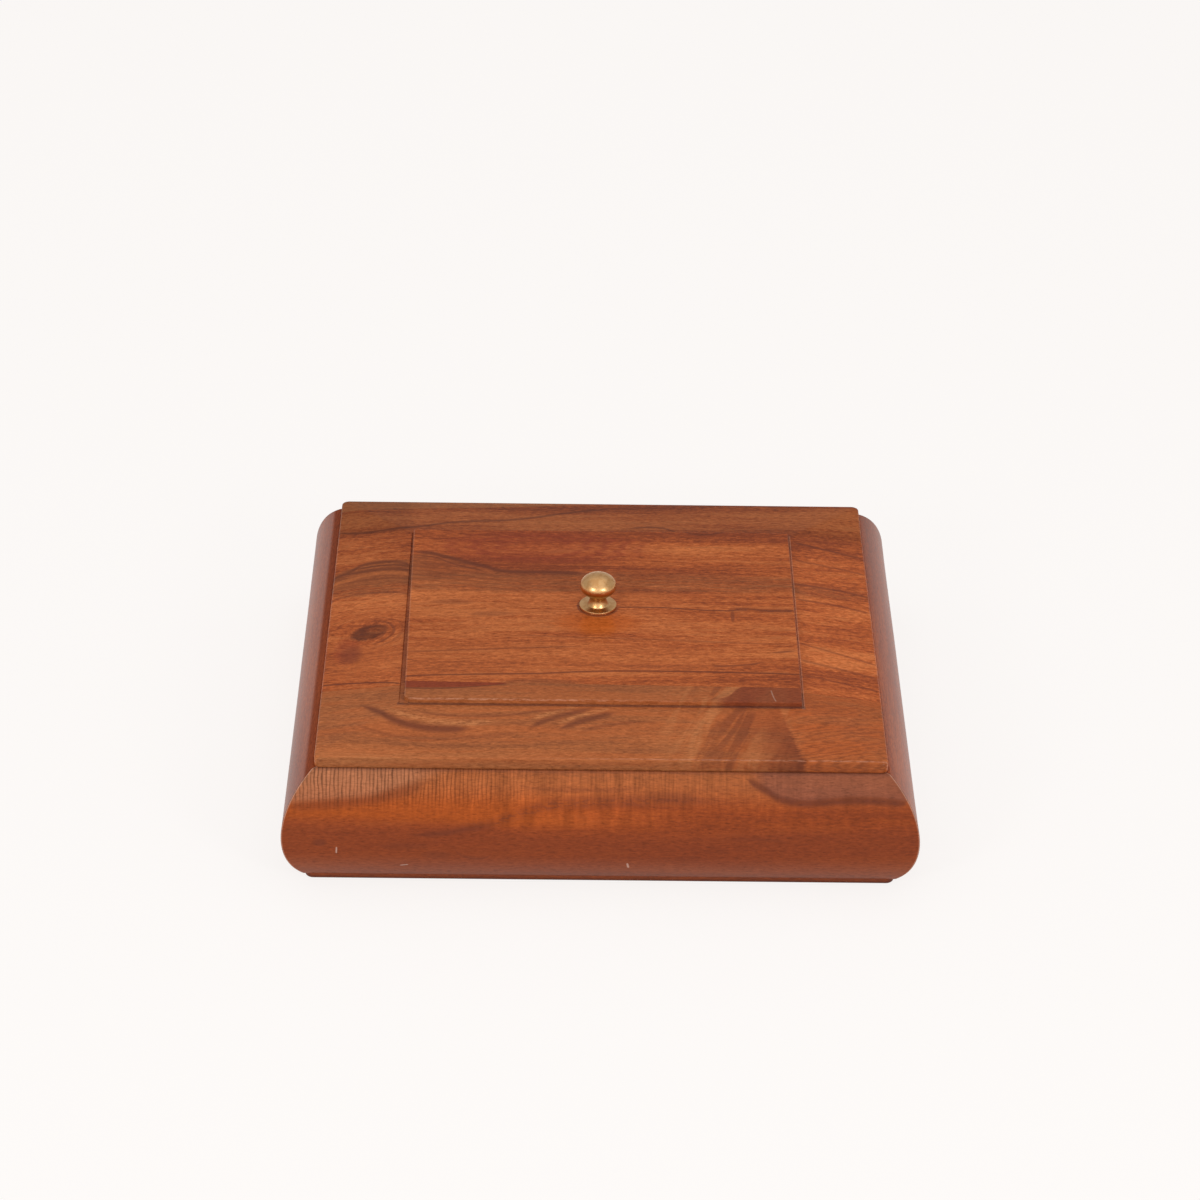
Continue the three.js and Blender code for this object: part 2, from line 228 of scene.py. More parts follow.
class Surface:
    """A material, or the world, and the nodes that make it."""

    def __init__(self, owner):
        owner.use_nodes = True
        self.owner = owner
        self.tree = owner.node_tree
        self.tree.nodes.clear()

    def add(self, kind, settings=None, sockets=None, output=0):
        node = self.tree.nodes.new(kind)
        for name, setting in (settings or {}).items():
            if name == "stops":
                self.set_stops(node.color_ramp, setting)
            elif name == "curve":
                self.set_curve(node.mapping, setting)
            else:
                setattr(node, name, setting)
        for key, given in (sockets or {}).items():
            if isinstance(given, Value):
                self.tree.links.new(given.socket, node.inputs[key])
            else:
                node.inputs[key].default_value = given
        return Value(self, node.outputs[output]) if len(node.outputs) else node

    def set_stops(self, ramp, stops):
        while len(ramp.elements) < len(stops):
            ramp.elements.new(0.5)
        for element, (place, shade) in zip(ramp.elements, stops):
            element.position = place
            element.color = (*shade, 1)

    def set_curve(self, mapping, points):
        line = mapping.curves[0]
        while len(line.points) < len(points):
            line.points.new(0.5, 0.5)
        for point, place in zip(line.points, points):
            point.location = place
        mapping.update()

    def ramp(self, factor, *stops):
        return self.add("ShaderNodeValToRGB", {"stops": stops}, {0: factor})

    def mix(self, factor, first, second, blend="MIX"):
        settings = {"data_type": "RGBA", "blend_type": blend}
        below, above = [
            shade if isinstance(shade, Value) else (*shade, 1) for shade in (first, second)
        ]
        return self.add("ShaderNodeMix", settings, {0: factor, 6: below, 7: above}, output=2)

    def toned(self, shade, level):
        """A colour made darker or lighter by a level, where 1 leaves it as it is."""
        grey = self.add("ShaderNodeCombineColor", None, {0: level, 1: level, 2: level})
        return self.mix(1.0, shade, grey, "MULTIPLY")

    def vector(self, x, y, z):
        return self.add("ShaderNodeCombineXYZ", None, {0: x, 1: y, 2: z})

    def combined(self, operation, place, x, y, z):
        return self.add("ShaderNodeVectorMath", {"operation": operation}, {0: place, 1: (x, y, z)})

    def noise(self, place, scale, detail=2.0, roughness=0.5, distortion=0.0):
        """Noise at a place whose three ways are first scaled, each by its own share."""
        sockets = {
            "Vector": self.combined("MULTIPLY", place, *scale),
            "Scale": 1.0,
            "Detail": detail,
            "Roughness": roughness,
            "Distortion": distortion,
        }
        return self.add("ShaderNodeTexNoise", None, sockets)

    def bump(self, power, reach_mm, height):
        sockets = {"Strength": power, "Distance": reach_mm * MM, "Height": height}
        return self.add("ShaderNodeBump", None, sockets)

    def place_mm(self):
        """The piece's own X, Y and Z, in millimetres."""
        there = self.add("ShaderNodeTexCoord", None, None, output=3)
        grown = self.combined("MULTIPLY", there, 1 / MM, 1 / MM, 1 / MM)
        return [
            self.add("ShaderNodeSeparateXYZ", None, {0: grown}, output=axis) for axis in range(3)
        ]

    def finish(self, **sockets):
        """Adds the shader with its sockets, named with underscores for spaces."""
        named = {name.replace("_", " "): given for name, given in sockets.items()}
        shader = self.add("ShaderNodeBsdfPrincipled", None, named)
        self.add("ShaderNodeOutputMaterial", None, {0: shader})
        return self.owner


def new_material(name):
    return Surface(bpy.data.materials.new(name))


# Marks in the wood: u runs along the grain and v across it, in millimetres


def along_line(points, u):
    """The height above u of a smooth line through points."""
    first, last = points[0][0], points[-1][0]
    heights = [height for _, height in points]
    low, high = min(heights), max(heights)
    span = max(high - low, 1e-3)
    curve = [((x - first) / (last - first), (height - low) / span) for x, height in points]
    reached = (u - first) / (last - first)
    raised = u.surface.add("ShaderNodeFloatCurve", {"curve": curve}, {"Value": reached})
    return raised * span + low


def streak(u, v, points, half_width, level=1.0, fade=8.0, soft=0.35):
    """A level on a line through points, 0 beside it at half_width, tapering over twice fade."""
    first, last = points[0][0], points[-1][0]
    inside = u.step(first - fade, first + fade) * u.step(last + fade, last - fade)
    away = abs(v - along_line(points, u)) + (1.0 - inside) * (half_width * 1.6)
    return away.step(half_width * 1.6, half_width * soft * 0.5) * level


def streaks(u, v, rows):
    return strongest([streak(u, v, *row) for row in rows])


def reach_of(u, v, middle, half_u, half_v):
    """The square of the way out of an ellipse: 0 in its middle and 1 at its edge."""
    return ((u - middle[0]) / half_u) ** 2 + ((v - middle[1]) / half_v) ** 2


def blot(u, v, middle, half_u, half_v, inner=0.5, level=1.0):
    """A level in an ellipse round middle, 0 outside it."""
    return reach_of(u, v, middle, half_u, half_v).step(1.0, inner) * level


def blots(u, v, rows):
    return strongest([blot(u, v, *row) for row in rows])


def rings(u, v, middle, half_u, half_v, spacing, waver):
    """Nested lines round middle, 0 to 1, that die out at the edge of an ellipse."""
    reach = reach_of(u, v, middle, half_u, half_v) ** 0.5
    lines = ((reach * (half_v / spacing) + waver) * math.tau).sine()
    return lines.step(-0.2, 1.0) * reach.step(1.0, 0.5) * reach.step(0.1, 0.4)


class Board:
    """The grain of one board, and its colour while that is painted layer over layer.

    spread narrows the bands where it is above 1, wander is how far the grain bends, in
    millimetres, and seed moves the board to its own place in the noises.
    """

    def __init__(self, surface, along, across, depth, seed, spread=1.0, wander=9.0):
        self.surface = surface
        place = surface.vector(along, across, depth)
        moved = surface.combined("ADD", place, seed, seed, seed)
        slow = surface.noise(moved, (1 / 130, 1 / 55, 1 / 55), 1.0)
        quick = surface.noise(moved, (1 / 38, 1 / 20, 1 / 20), 2.0)
        self.bend = (slow - 0.5) * wander + (quick - 0.5) * 2.4
        shift = surface.vector(0.0, self.bend, 0.0)
        bent = surface.add("ShaderNodeVectorMath", {"operation": "ADD"}, {0: moved, 1: shift})

        def grain(run, share_across, *noise_values):
            return surface.noise(bent, (1 / run, share_across, share_across), *noise_values)

        self.zones = grain(230, spread / 24, 1.5)
        self.bands = grain(95, spread / 4.6, 3.0, 0.6)
        self.lines = grain(22, spread / 1.3, 3.0, 0.65)
        self.fibre = grain(3.2, 1 / 0.9, 2.0, 0.7)
        self.pores = grain(2.4, 1 / 0.6, 1.0)

    def start(self, wood):
        """A wood's plain colour: bands of its three tones with thin brown lines between them."""
        tones = colours()
        depths = ("dark", "middle", "light")
        dark, middle, light = [getattr(tones, f"{wood}_{depth}") for depth in depths]
        depth = self.zones * 0.38 + self.bands * 0.28 + self.lines * 0.24 + self.fibre * 0.22
        plain = self.surface.ramp(depth, (0.47, dark), (0.56, middle), (0.65, light))
        thin = self.lines.step(0.53, 0.66) * self.fibre.step(0.42, 0.56)
        self.shade = self.surface.mix(thin * self.bands.step(0.4, 0.6) * 0.5, plain, tones.line)

    def paint(self, share, tone):
        self.shade = self.surface.mix(share, self.shade, tone)

    def lighten(self, level):
        """Multiplies the colour by a level, where 1 leaves it as it is."""
        self.shade = self.surface.toned(self.shade, level)

    def varnish(self, dark=None, coat=0.35, fleck=1.0):
        """Satin varnish: fibre and pores in colour, gloss and relief, with dark marks sunk in."""
        pore = self.pores.step(0.58, 0.72)
        self.lighten((self.fibre - 0.5) * fleck + 1.02 - pore * 0.22)
        relief = self.fibre * 0.35 - pore * 0.6 + self.bands * 0.3
        if dark is not None:
            relief = relief + dark * -0.4
        return self.surface.finish(
            Base_Color=self.shade,
            Roughness=self.fibre * 0.12 + 0.4,
            Specular_IOR_Level=0.0,
            Coat_Weight=coat,
            Coat_Roughness=0.22,
            Coat_IOR=1.35,
            Normal=self.surface.bump(0.16, 0.12, relief),
        )


# Marks that both boards of the lid share, in millimetres

FIELD_SIDE = 97.3
FIELD_FRONT = 84.0
FIELD_LEAN = 1.7
FIELD_TOP = 72.8
GROOVE_TOP = 70.3
KNOB_MIDDLE = (-1.6, 6.3)
KNOB_RING = 9.9


def past_left_edge(x, y):
    """The way to the right from the field's left edge, which leans in to the front."""
    return x - ((FIELD_FRONT - y) * (FIELD_LEAN / (2 * FIELD_FRONT)) - FIELD_SIDE)


def left_groove(x, y):
    """1 in the groove left of the field, which widens to the front."""
    return x.step(-98.9, -98.2) * past_left_edge(x, y).step(0.3, -0.2)


def paint_field_sides(board, x, y, z, beside_field):
    """Painted sheen in the groove at the field's right, and a painted highlight on the arris at its
    left.
    """
    groove = x.step(97.1, 97.4) * x.step(99.0, 98.4) * z.step(GROOVE_TOP + 0.3, GROOVE_TOP)
    board.paint(groove * beside_field * 0.4, colours().painted_sheen)
    inside = past_left_edge(x, y)
    arris = inside.step(-0.2, 0.0) * inside.step(0.9, 0.4)
    arris = arris * z.step(FIELD_TOP - 0.8, FIELD_TOP - 0.4)
    board.paint(arris * y.step(FIELD_FRONT + 0.5, FIELD_FRONT - 0.5) * 0.14, colours().painted_sheen)


def flange_shadow_ring(x, y):
    """1 on the painted shadow round the knob's flange, most in front and at the left."""
    away_x, away_y = x - KNOB_MIDDLE[0], y - KNOB_MIDDLE[1]
    away = abs((away_x**2 + away_y**2) ** 0.5 - KNOB_RING)
    return away.step(1.1, 0.3) * (away_y + x * 0.4).step(6.0, -4.0)


# The lid's back board. Each streak: points along it, half width, level, fade and softness.
# Each blot: middle, half length, half width, inner edge and level. The fan is the figure that
# crosses the left margin and the field's left end behind the knot, with a pale flash in it.
# Behind the sheen edge, near the lid's back edge, painted sheen lightens the wood. The feather
# is the broad, ragged end of the long fine streak at the right.

KNOT = (-116.0, -14.2)
CATHEDRAL = (-30, 66)
FAN_TOP = [
    (-137, 44), (-124, 54), (-112, 57), (-98, 56), (-88, 58), (-70, 50), (-48, 41), (-8, 38)
]
FAN_FOOT = [(-137, 28), (-112, 34), (-98, 32), (-70, 26), (-48, 22), (-8, 22)]
BACK_SHEEN_EDGE = [(-137, 113), (-90, 117), (-40, 121), (0, 126)]
FLASH = [(-137, 36.0), (-123, 42.6), (-112, 44.4), (-98, 41.0)]
FEATHER = [(64, 3), (72, 4.6), (82, 3.4), (97, 3.4)]
BACK_STREAKS = [
    ([(-97, 60), (-88, 59), (-81, 55.5), (-70, 50.5), (-60, 46), (-48, 40.5), (-28, 40), (-8, 39)],
     2.1, 0.9),
    ([(-97, 56.5), (-86, 54.5), (-76, 48), (-60, 41)], 1.0, 0.6, 3),
    ([(-137, 43.4), (-128, 49.5), (-121, 55.5), (-112, 56.5), (-98, 49.6)], 1.9, 0.75, 2),
    ([(-137, 41.6), (-123, 48), (-112, 49), (-98, 44.4)], 2.0, 0.55, 2),
    ([(-125, 51), (-112, 52.6), (-98, 47)], 0.9, 0.8, 4),
    ([(-137, 92), (-128, 89.4), (-111, 90), (-99, 91.7), (-74, 100), (-50, 103), (-13, 115),
      (4, 119)], 1.4, 0.7),
    ([(-137, 19.5), (-128, 24), (-118, 25.3), (-97, 19.4)], 1.1, 0.5, 2),
    ([(-137, -61.8), (-117, -62.4), (-98, -66)], 0.7, 1, 2),
    ([(-97, -63.6), (-77, -61.6), (-37, -60), (9, -56.6), (54, -56.6), (98, -58.6)], 0.75, 0.9, 2),
    ([(-97, -40.2), (-78, -38.8), (-48, -36.6), (-12, -34)], 0.7, 0.55),
    ([(-40, -23.6), (-12, -25), (40, -27), (97, -30)], 0.7, 0.4),
    ([(54, -51), (63, -50.8), (80, -47)], 0.8, 0.7, 4),
    ([(84, -38), (97, -35.6)], 0.9, 0.8, 6),
    ([(8, 5), (27, 5.3), (44, 4), (64, 3), (72, 5), (82, 3.4), (98, 3.4)], 0.55, 1, 2),
    ([(14, 93), (28, 94.8), (52, 81), (67, 86), (78, 88), (88, 89)], 1.1, 0.75, 9),
    ([(100, 79), (112, 76), (136, 70)], 1.0, 0.7, 2),
    ([(100, 61), (118, 58), (136, 53)], 0.9, 0.55, 2),
    ([(100, 36), (116, 34.4), (137, 30)], 0.9, 0.65, 2),
    ([(99, 20), (115, 18.5), (136, 14)], 0.9, 0.65, 2),
    ([(99, -24), (115, -29), (136, -37)], 0.9, 0.6, 2),
    ([(99, -40), (115, -44), (136, -50)], 1.2, 0.55, 2),
    ([(99, -54), (118, -58), (136, -62)], 0.8, 0.6, 2),
]
BACK_BLOTS = [
    ((66, -2.5), 1.3, 7.5, 0.2, 0.6),
    ((-75, 9), 14, 3.4, 0.1, 0.4),
    ((-55, -2.5), 15, 3.2, 0.1, 0.4),
    ((-124, -34), 7, 11, 0.1, 0.45),
]


def lid_back_wood():
    """Red-brown board with a knot at the left, a cathedral figure behind and dark streaks."""
    tones = colours()
    surface = new_material("lid_back_wood")
    x, y, z = surface.place_mm()
    pressed = y - (y - KNOT[1]) * blot(x, y, KNOT, 26, 24, 0.05) * 0.55
    board = Board(surface, x, pressed, z, seed=11.3)
    u, v = x, y + board.bend * 0.35
    board.start("lid")
    brown = blot(u, v, (-10, 30), 170, 13, 0.35) * (board.lines.step(0.42, 0.6) * 0.65 + 0.25)
    board.paint(brown * 0.75, tones.front_dark)

    fan_foot = along_line(FAN_FOOT, u)
    fan = (v - along_line(FAN_TOP, u)).step(2.0, -1.0) * (v - fan_foot).step(-4.0, 3.0)
    fan = fan * u.step(10, -70)
    fan_lines = ((fan_foot - v) * (math.tau / 4.4) + board.bands * 5.0).sine().step(-0.2, 1.0)
    board.paint(fan * (x.step(-84, -98) * 0.5 + 0.5) * 0.45, tones.front_middle)
    board.paint(fan * fan_lines * board.fibre.step(0.3, 0.6) * 0.5, tones.line)
    board.paint(streak(u, v, FLASH, 1.8, 0.6, 2, 0.2), tones.lid_light)
    # painted sheen along the lid's back edge
    board.paint((v - along_line(BACK_SHEEN_EDGE, u)).step(-0.5, 1.0) * 0.5, tones.front_light)
    orange = blots(u, v, [((-40, -46), 130, 22, 0.3), ((-5, 12), 60, 10, 0.2)])
    board.paint(orange * 0.25, tones.lid_light)
    board.paint(blot(u, v, CATHEDRAL, 62, 20, 0.4, 0.35), tones.red)

    waver = (board.zones - 0.5) * 5.0 + (board.bands - 0.5) * 2.4 + u * 0.012
    swirl = rings(u, v, CATHEDRAL, 70, 21, 3.4, waver) * (board.lines.step(0.3, 0.55) * 0.6 + 0.4)
    knot_lines = rings(u, v, KNOT, 22, 19, 4.0, waver * 0.4) * u.step(-120, -108)
    board.paint(swirl * 0.6, tones.red)
    board.paint(blot(u, v, (-126, -30), 9, 16, 0.1, 0.5), tones.red)
    ragged = surface.noise(surface.vector(x, y, z), (0.35, 0.35, 0.35), 3.0, 0.6)
    heart_v = y - (x - KNOT[0]) * 0.22 + (ragged - 0.5) * 3
    heart = blot(x + (ragged - 0.5) * 4, heart_v, KNOT, 10.4, 8.4, 0.45)
    pith = blot(x, y, (-112.5, -12.6), 6, 4.4, 0.1)
    dark = strongest([
        streaks(u, v, BACK_STREAKS),
        streak(u, v, FEATHER, 1.7, 1, 2) * board.fibre.step(0.35, 0.6),
        blots(u, v, BACK_BLOTS),
        swirl * 0.12,
        knot_lines * 0.65,
        heart * (0.4 + ragged) - pith * 0.45,
    ])
    board.paint(dark * (board.fibre * 1.1 + 0.25), tones.streak)
    board.lighten(1.0 - heart * 0.2)

    board.paint(blot(u, v, (-30, -68), 24, 4.5, 0.2, 0.5), tones.front_dark)
    # painted reflection of the knob in the varnish in front of it
    board.paint(blot(x, y, (-1.6, -10), 27, 14, 0.1, 0.7), tones.glow)
    board.lighten(1.0 - blot(x, y, (-55, -20), 62, 50, 0.2) * 0.06)
    behind = y.step(82, 92)
    left_behind = x.step(-94, -104) * y.step(15, 50)
    right_side = x.step(94, 106) * y.step(90, 60)
    board.lighten(1.0 - behind * 0.28 - left_behind * 0.12 + right_side * 0.14)
    # painted shadow round the knob's flange
    board.paint(flange_shadow_ring(x, y) * 0.6, tones.painted_shade)
    beside_field = y.step(FIELD_FRONT + 2, FIELD_FRONT)
    # painted shade in the groove left of the field
    groove = left_groove(x, y) * z.step(GROOVE_TOP, GROOVE_TOP - 0.4) * beside_field
    board.paint(groove * 0.4, tones.painted_shade)
    paint_field_sides(board, x, y, z, beside_field)
    return board.varnish(dark)


# The lid's front board, with rows as above. The red patch lies at the field's right front
# corner and the red wedge along the joint at its left. The scratch runs across the grain.

FRONT_STREAKS = [
    ([(-116, -83), (-108, -90), (-100, -97), (-90, -101.5), (-80, -103.4), (-64, -103.2)],
     3.0, 0.85, 7, 0.2),
    ([(-120, -96), (-108, -106), (-92, -110), (-70, -110), (-40, -106)], 1.4, 0.3),
    ([(-90, -88), (-68, -93.6), (-50, -93.4), (-28, -89.4), (-4, -88)], 1.0, 0.45),
    ([(-34, -101.5), (-22, -94.4), (-5, -87.4)], 2.2, 0.7, 5, 0.2),
    ([(-20, -103), (-6, -95.4), (6, -90.6)], 2.4, 0.75, 5, 0.2),
    ([(-10, -105), (6, -99), (20, -97)], 1.6, 0.4, 7, 0.2),
    ([(53, -82.5), (60, -77), (68, -72), (84, -70.6)], 1.4, 0.5, 2),
    ([(-97, -74), (-80, -74), (-62, -72), (-46, -69.4)], 0.8, 0.8, 2),
]
FRONT_LIGHTS = [
    ([(-104, -88), (-90, -95), (-72, -99), (-52, -98)], 2.4, 1, 9, 0.2),
    ([(-34, -96.5), (-24, -91), (-12, -86)], 1.7, 1, 4, 0.2),
    ([(-20, -98.5), (-8, -91.6), (4, -87)], 1.5, 1, 4, 0.2),
]
RED_PATCH_TOP = [(52, -80), (58, -80), (66, -72), (72, -68), (99, -68)]
RED_WEDGE_FOOT = [(-98, -73.4), (-77, -73.0), (-60, -71.4), (-46, -69.2)]
SCRATCH = [(-83, 84.6), (-78, 83.4), (-72.6, 82.6)]
SCRATCH_TONE = (0.75, 0.6, 0.48)


def lid_front_wood():
    """Browner board with curling dark figure at the left and a blotched curl at the right."""
    tones = colours()
    surface = new_material("lid_front_wood")
    x, y, z = surface.place_mm()
    board = Board(surface, x, y, z, seed=47.9, spread=0.8, wander=12.0)
    u, v = x, y + board.bend * 0.35
    board.start("front")
    board.paint(0.3, tones.front_middle)
    ruddy = u.step(30, 90) * 0.4 + board.bands.step(0.4, 0.6) * 0.35 + 0.15
    board.paint(ruddy, tones.lid_middle)
    arcs = ((v - u * 0.3 + board.bands * 16.0) * (math.tau / 3.4)).sine().step(-0.1, 1.0)
    board.paint(arcs * x.step(84, 96) * y.step(-70, -84) * 0.4, tones.line)

    curl_place = surface.vector(u - (v + 105) * 0.4, v, z)
    curls = surface.noise(curl_place, (1 / 9, 1 / 45, 1 / 45), 3.0, 0.55, 0.5)
    curled = curls.step(0.5, 0.64) * u.step(24, 60) * x.step(90, 86) * 0.5
    dark = streaks(u, v, FRONT_STREAKS).larger(curled)
    lights = streaks(u, v, FRONT_LIGHTS) * board.fibre.step(0.3, 0.6)
    board.paint(lights * 0.6, tones.front_light)
    board.paint(dark * (board.fibre * 0.8 + 0.45), tones.streak)

    away = u + (v + 86) * 0.25 + (board.fibre - 0.5) * 4.0
    bruise = away.step(88.5, 85.5) * away.step(50, 86) * v.step(-84.6, -86.0)
    lower = v.step(-86, -112) * 0.55 + 0.25
    board.paint(bruise * lower * (0.5 + curls * 0.6), tones.streak)
    pale = curls.step(0.52, 0.36) * u.step(20, 50) * u.step(104, 80)
    board.paint(pale * (1.0 - bruise) * 0.5, tones.front_light)
    patch = (along_line(RED_PATCH_TOP, u) - v).step(-0.6, 0.8) * u.step(52, 62)
    patch = patch * u.step(98.4, 98.0) * v.step(-84.5, -83.8)
    board.paint(patch * 0.6, tones.red)
    board.paint(patch * 0.45, tones.line)
    wedge = (v - along_line(RED_WEDGE_FOOT, u)).step(-0.3, 0.3) * u.step(-44, -50)
    wedge = wedge * x.step(-96.0, -95.7)
    board.paint(wedge * 0.85, tones.red)
    board.lighten(1.0 - wedge * 0.16)
    board.paint(streak(v, u, SCRATCH, 0.3, 0.22, 0.5, 0.6), SCRATCH_TONE)
    board.lighten(y.step(-84, -90) * 0.1 + 0.99)

    beside_front = x.step(-99.4, -98.6) * x.step(99.4, 98.6)
    front_groove = y.step(-86.0, -85.4) * y.step(-82.8, -83.6) * beside_front
    # painted highlight on the field's front arris, broken up by the fibre
    arris = y.step(-83.0, -83.5) * z.step(71.8, 72.3) * x.step(99.4, 98.6)
    board.paint(arris * board.fibre.step(0.4, 0.6) * x.step(60, -20) * 0.3, tones.painted_sheen)
    beside_field = y.step(-86.0, -85.4)
    # painted shade in the grooves round the field
    side_groove = left_groove(x, y) * beside_field * 0.2
    paint_field_sides(board, x, y, z, beside_field)
    groove_shade = side_groove.larger(front_groove) * z.step(GROOVE_TOP + 0.6, GROOVE_TOP - 0.2)
    board.paint(groove_shade * 0.6, tones.painted_shade)
    # painted highlight along the lid's rounded front edge, broken up by the fibre
    worn = y.step(-124.6, -125.1) * y.step(-126.1, -125.7) * board.fibre.step(0.3, 0.6)
    board.paint(worn * x.step(-60, 60) * 0.28, tones.painted_sheen)
    # painted shade on the lid's front edge face; the front margin is also a little darker towards
    # that edge
    board.lighten(1.0 - y.step(-126.0, -126.7) * 0.26 - y.step(-105, -124) * 0.04)
    return board.varnish(dark, fleck=0.9)


# The walls, where v is the height. CORNER_STEP is half the box's width less half its depth.
# The nicks are fine pale marks in the varnish, two upright and one level.

CORNER_STEP = 10.0
ORANGE_EDGE = [(-150, 40), (-76, 37.7), (0, 35), (76, 37.8), (142, 40)]
TAN_EDGE = [(-150, 46.5), (-127, 48.4), (-111, 49.8), (-97, 53.2), (-84, 56)]
UMBER_EDGE = [(70, 60), (79, 54), (87, 50.5), (96, 49.8), (120, 51.4), (145, 50)]
LONG_STREAK = [(-74, 34), (-53, 38), (-39, 43), (-17, 47.4), (13, 48.7), (35, 50), (50, 49)]
WALL_STREAKS = [
    ([(-88, 32.2), (-73, 33.5), (-60, 36.4), (-48, 39)], 1.8, 0.6, 8, 0.1),
    ([(-148, 45.2), (-127, 47.0), (-111, 48.8), (-97, 52.0), (-84, 55)], 2.6, 0.5, 6, 0.1),
    ([(70, 58), (79, 54), (87, 50.5), (96, 49.4), (120, 50.6), (145, 49.4)], 1.7, 0.95, 3),
    ([(60, 31.2), (70, 31.8), (92, 29)], 0.9, 0.3, 9),
    ([(-70, 26), (-62, 18), (-56, 18), (-52, 24)], 1.0, 0.45, 5),
    ([(-40, 55), (-10, 53), (20, 55)], 0.9, 0.35, 14),
]
WALL_BLOTS = [
    ((-134, 27.5), 4.5, 2.6, 0.1, 0.6),
    ((-94, 26), 16, 3, 0.1, 0.3),
    ((-78, 20), 9, 3.4, 0.1, 0.35),
]
UPRIGHT_NICKS = [
    ([(12, 13.6), (15.5, 13)], 0.5, 1, 0.6, 0.5),
    ([(21, -126.2), (25, -126)], 0.35, 1, 0.5, 0.5),
]
LEVEL_NICK = ([(-96, 12.2), (-92, 12.9)], 0.35, 1, 0.8, 0.5)
NICK_TONE = (0.62, 0.44, 0.36)


def mitre_line(x, y):
    """1 on the walls' mitred edges, for both walls that meet there."""
    return abs(abs(x) - abs(y) - CORNER_STEP).step(0.75, 0.3)


def front_wall_wood():
    """Orange over darker wood, the darker lower part partly painted shade, with a rippled figure
    across the upper half and two brown patches.
    """
    tones = colours()
    surface = new_material("front_wall_wood")
    x, y, z = surface.place_mm()
    board = Board(surface, x, z, y, seed=83.1, spread=0.7, wander=8.0)
    u, v = x, z + board.bend * 0.3
    board.start("wall")
    board.paint(0.55, tones.wall_middle)
    above = v - along_line(ORANGE_EDGE, u)
    # below ORANGE_EDGE the wall is darker, partly its wood and partly painted shade; the orange
    # band above it is painted light
    board.paint(above.step(2.0, -6.0) * 0.5, tones.wall_dark)
    board.paint(above.step(-1.0, 4.0) * above.step(20.0, 9.0) * u.step(40, -60) * 0.5, tones.glow)
    tan = (v - along_line(TAN_EDGE, u)).step(-1.5, 2.5) * u.step(-66, -96)
    board.paint(tan * 0.42, tones.front_middle)
    brown = (v - along_line(UMBER_EDGE, u)).step(-0.5, 1.5) * u.step(68, 80)
    board.paint(brown * 0.7, tones.umber)
    # painted light: the wall's top below the rim is lighter, as if it reflects the brighter light
    # above
    board.paint(z.step(45, 58) * (0.34 - brown * 0.2), tones.front_light)
    # painted reflection: a pale veil over the tan patch
    board.paint(tan * 0.17, tones.painted_sheen)
    dark = strongest([
        streak(u, v, LONG_STREAK, 2.6, 0.7, 12, 0.1) * board.fibre.step(0.35, 0.62),
        streaks(u, v, WALL_STREAKS),
        blots(u, v, WALL_BLOTS),
    ])
    board.paint(dark * (board.fibre * 1.1 + 0.2), tones.streak)

    ripple_place = surface.vector(x + board.bend * 0.3, v, y)
    ripple = surface.noise(ripple_place, (1 / 1.5, 1 / 18, 1 / 18), 1.0, 0.5)
    flame = surface.noise(ripple_place, (1 / 4.2, 1 / 16, 1 / 16), 2.0, 0.55)
    comb = ((x + board.bend * 0.25 + flame * 3.0) * (math.tau / 1.85)).sine().step(0.0, 1.0)
    comb_zone = v.step(43, 52) * (u.step(-20, -90) * 0.28 + u.step(120, 20) * 0.14)
    flame_zone = v.step(30, 42) * u.step(-110, -40) * (u.step(50, 0) * 0.45 + 0.5)
    rippled = (ripple - 0.5) * (v.step(36, 50) * u.step(130, 40)) * 0.5
    rippled = rippled - comb * (comb_zone * (flame * 1.6 + 0.2)) + (flame - 0.5) * flame_zone
    # the rippled tone is also darker below the orange line, as painted shade
    board.lighten(rippled - above.step(9.0, 0.0) * 0.08 + 1.0)
    nicks = streaks(v, u, UPRIGHT_NICKS).larger(streak(u, v, *LEVEL_NICK))
    board.paint(nicks * 0.6, NICK_TONE)
    # painted shadow: a dark line on the rim under the lid's front edge
    board.paint(z.step(59.0, 59.8) * 0.3, tones.painted_shade)
    # painted reflection: a pale veil towards the foot, where the wall reflects the floor
    board.paint(z.step(22, 8) * 0.1, tones.painted_sheen)
    # darkens the band round the orange line, toning down its painted light
    board.lighten(1.0 - above.step(-4.0, 3.0) * above.step(16.0, 8.0) * 0.08)
    # painted highlight along the rounded mitres
    board.paint(mitre_line(x, y) * 0.6, tones.painted_sheen)
    return board.varnish(dark, fleck=0.7)


def side_wall_wood(name, turned_grain, seed, beside=0.0, foot_shade_level=1.0):
    """Plainer wood of the other walls and the base board, with the grain along the piece.

    beside darkens a band beside the lid with painted shade, and a foot_shade_level below 1 darkens
    the piece a little and its foot down to that level, as painted shade.
    """
    tones = colours()
    surface = new_material(name)
    x, y, z = surface.place_mm()
    along, depth = (y, x) if turned_grain else (x, y)
    board = Board(surface, along, z, depth, seed, spread=0.8, wander=8.0)
    board.start("wall")
    board.paint(0.4, tones.wall_middle)
    board.paint(0.12, tones.umber)
    board.paint(board.lines.step(0.48, 0.6) * 0.4, tones.wall_dark)
    # painted shade: a dark band on the wall's top beside the lid, where the lid shades it
    lid_shade = z.step(55.6, 57.8) * beside
    board.paint(lid_shade * 0.5, tones.wall_dark)
    # painted shade, darker towards the foot
    if foot_shade_level < 1.0:
        board.lighten(z.step(0.5, 3.4) * (0.85 - foot_shade_level) + foot_shade_level)
    board.paint(mitre_line(x, y) * 0.5, tones.wall_dark)
    return board.varnish(coat=(1.0 - lid_shade * 0.85) * 0.6, fleck=0.6)


# Bare wood and metals


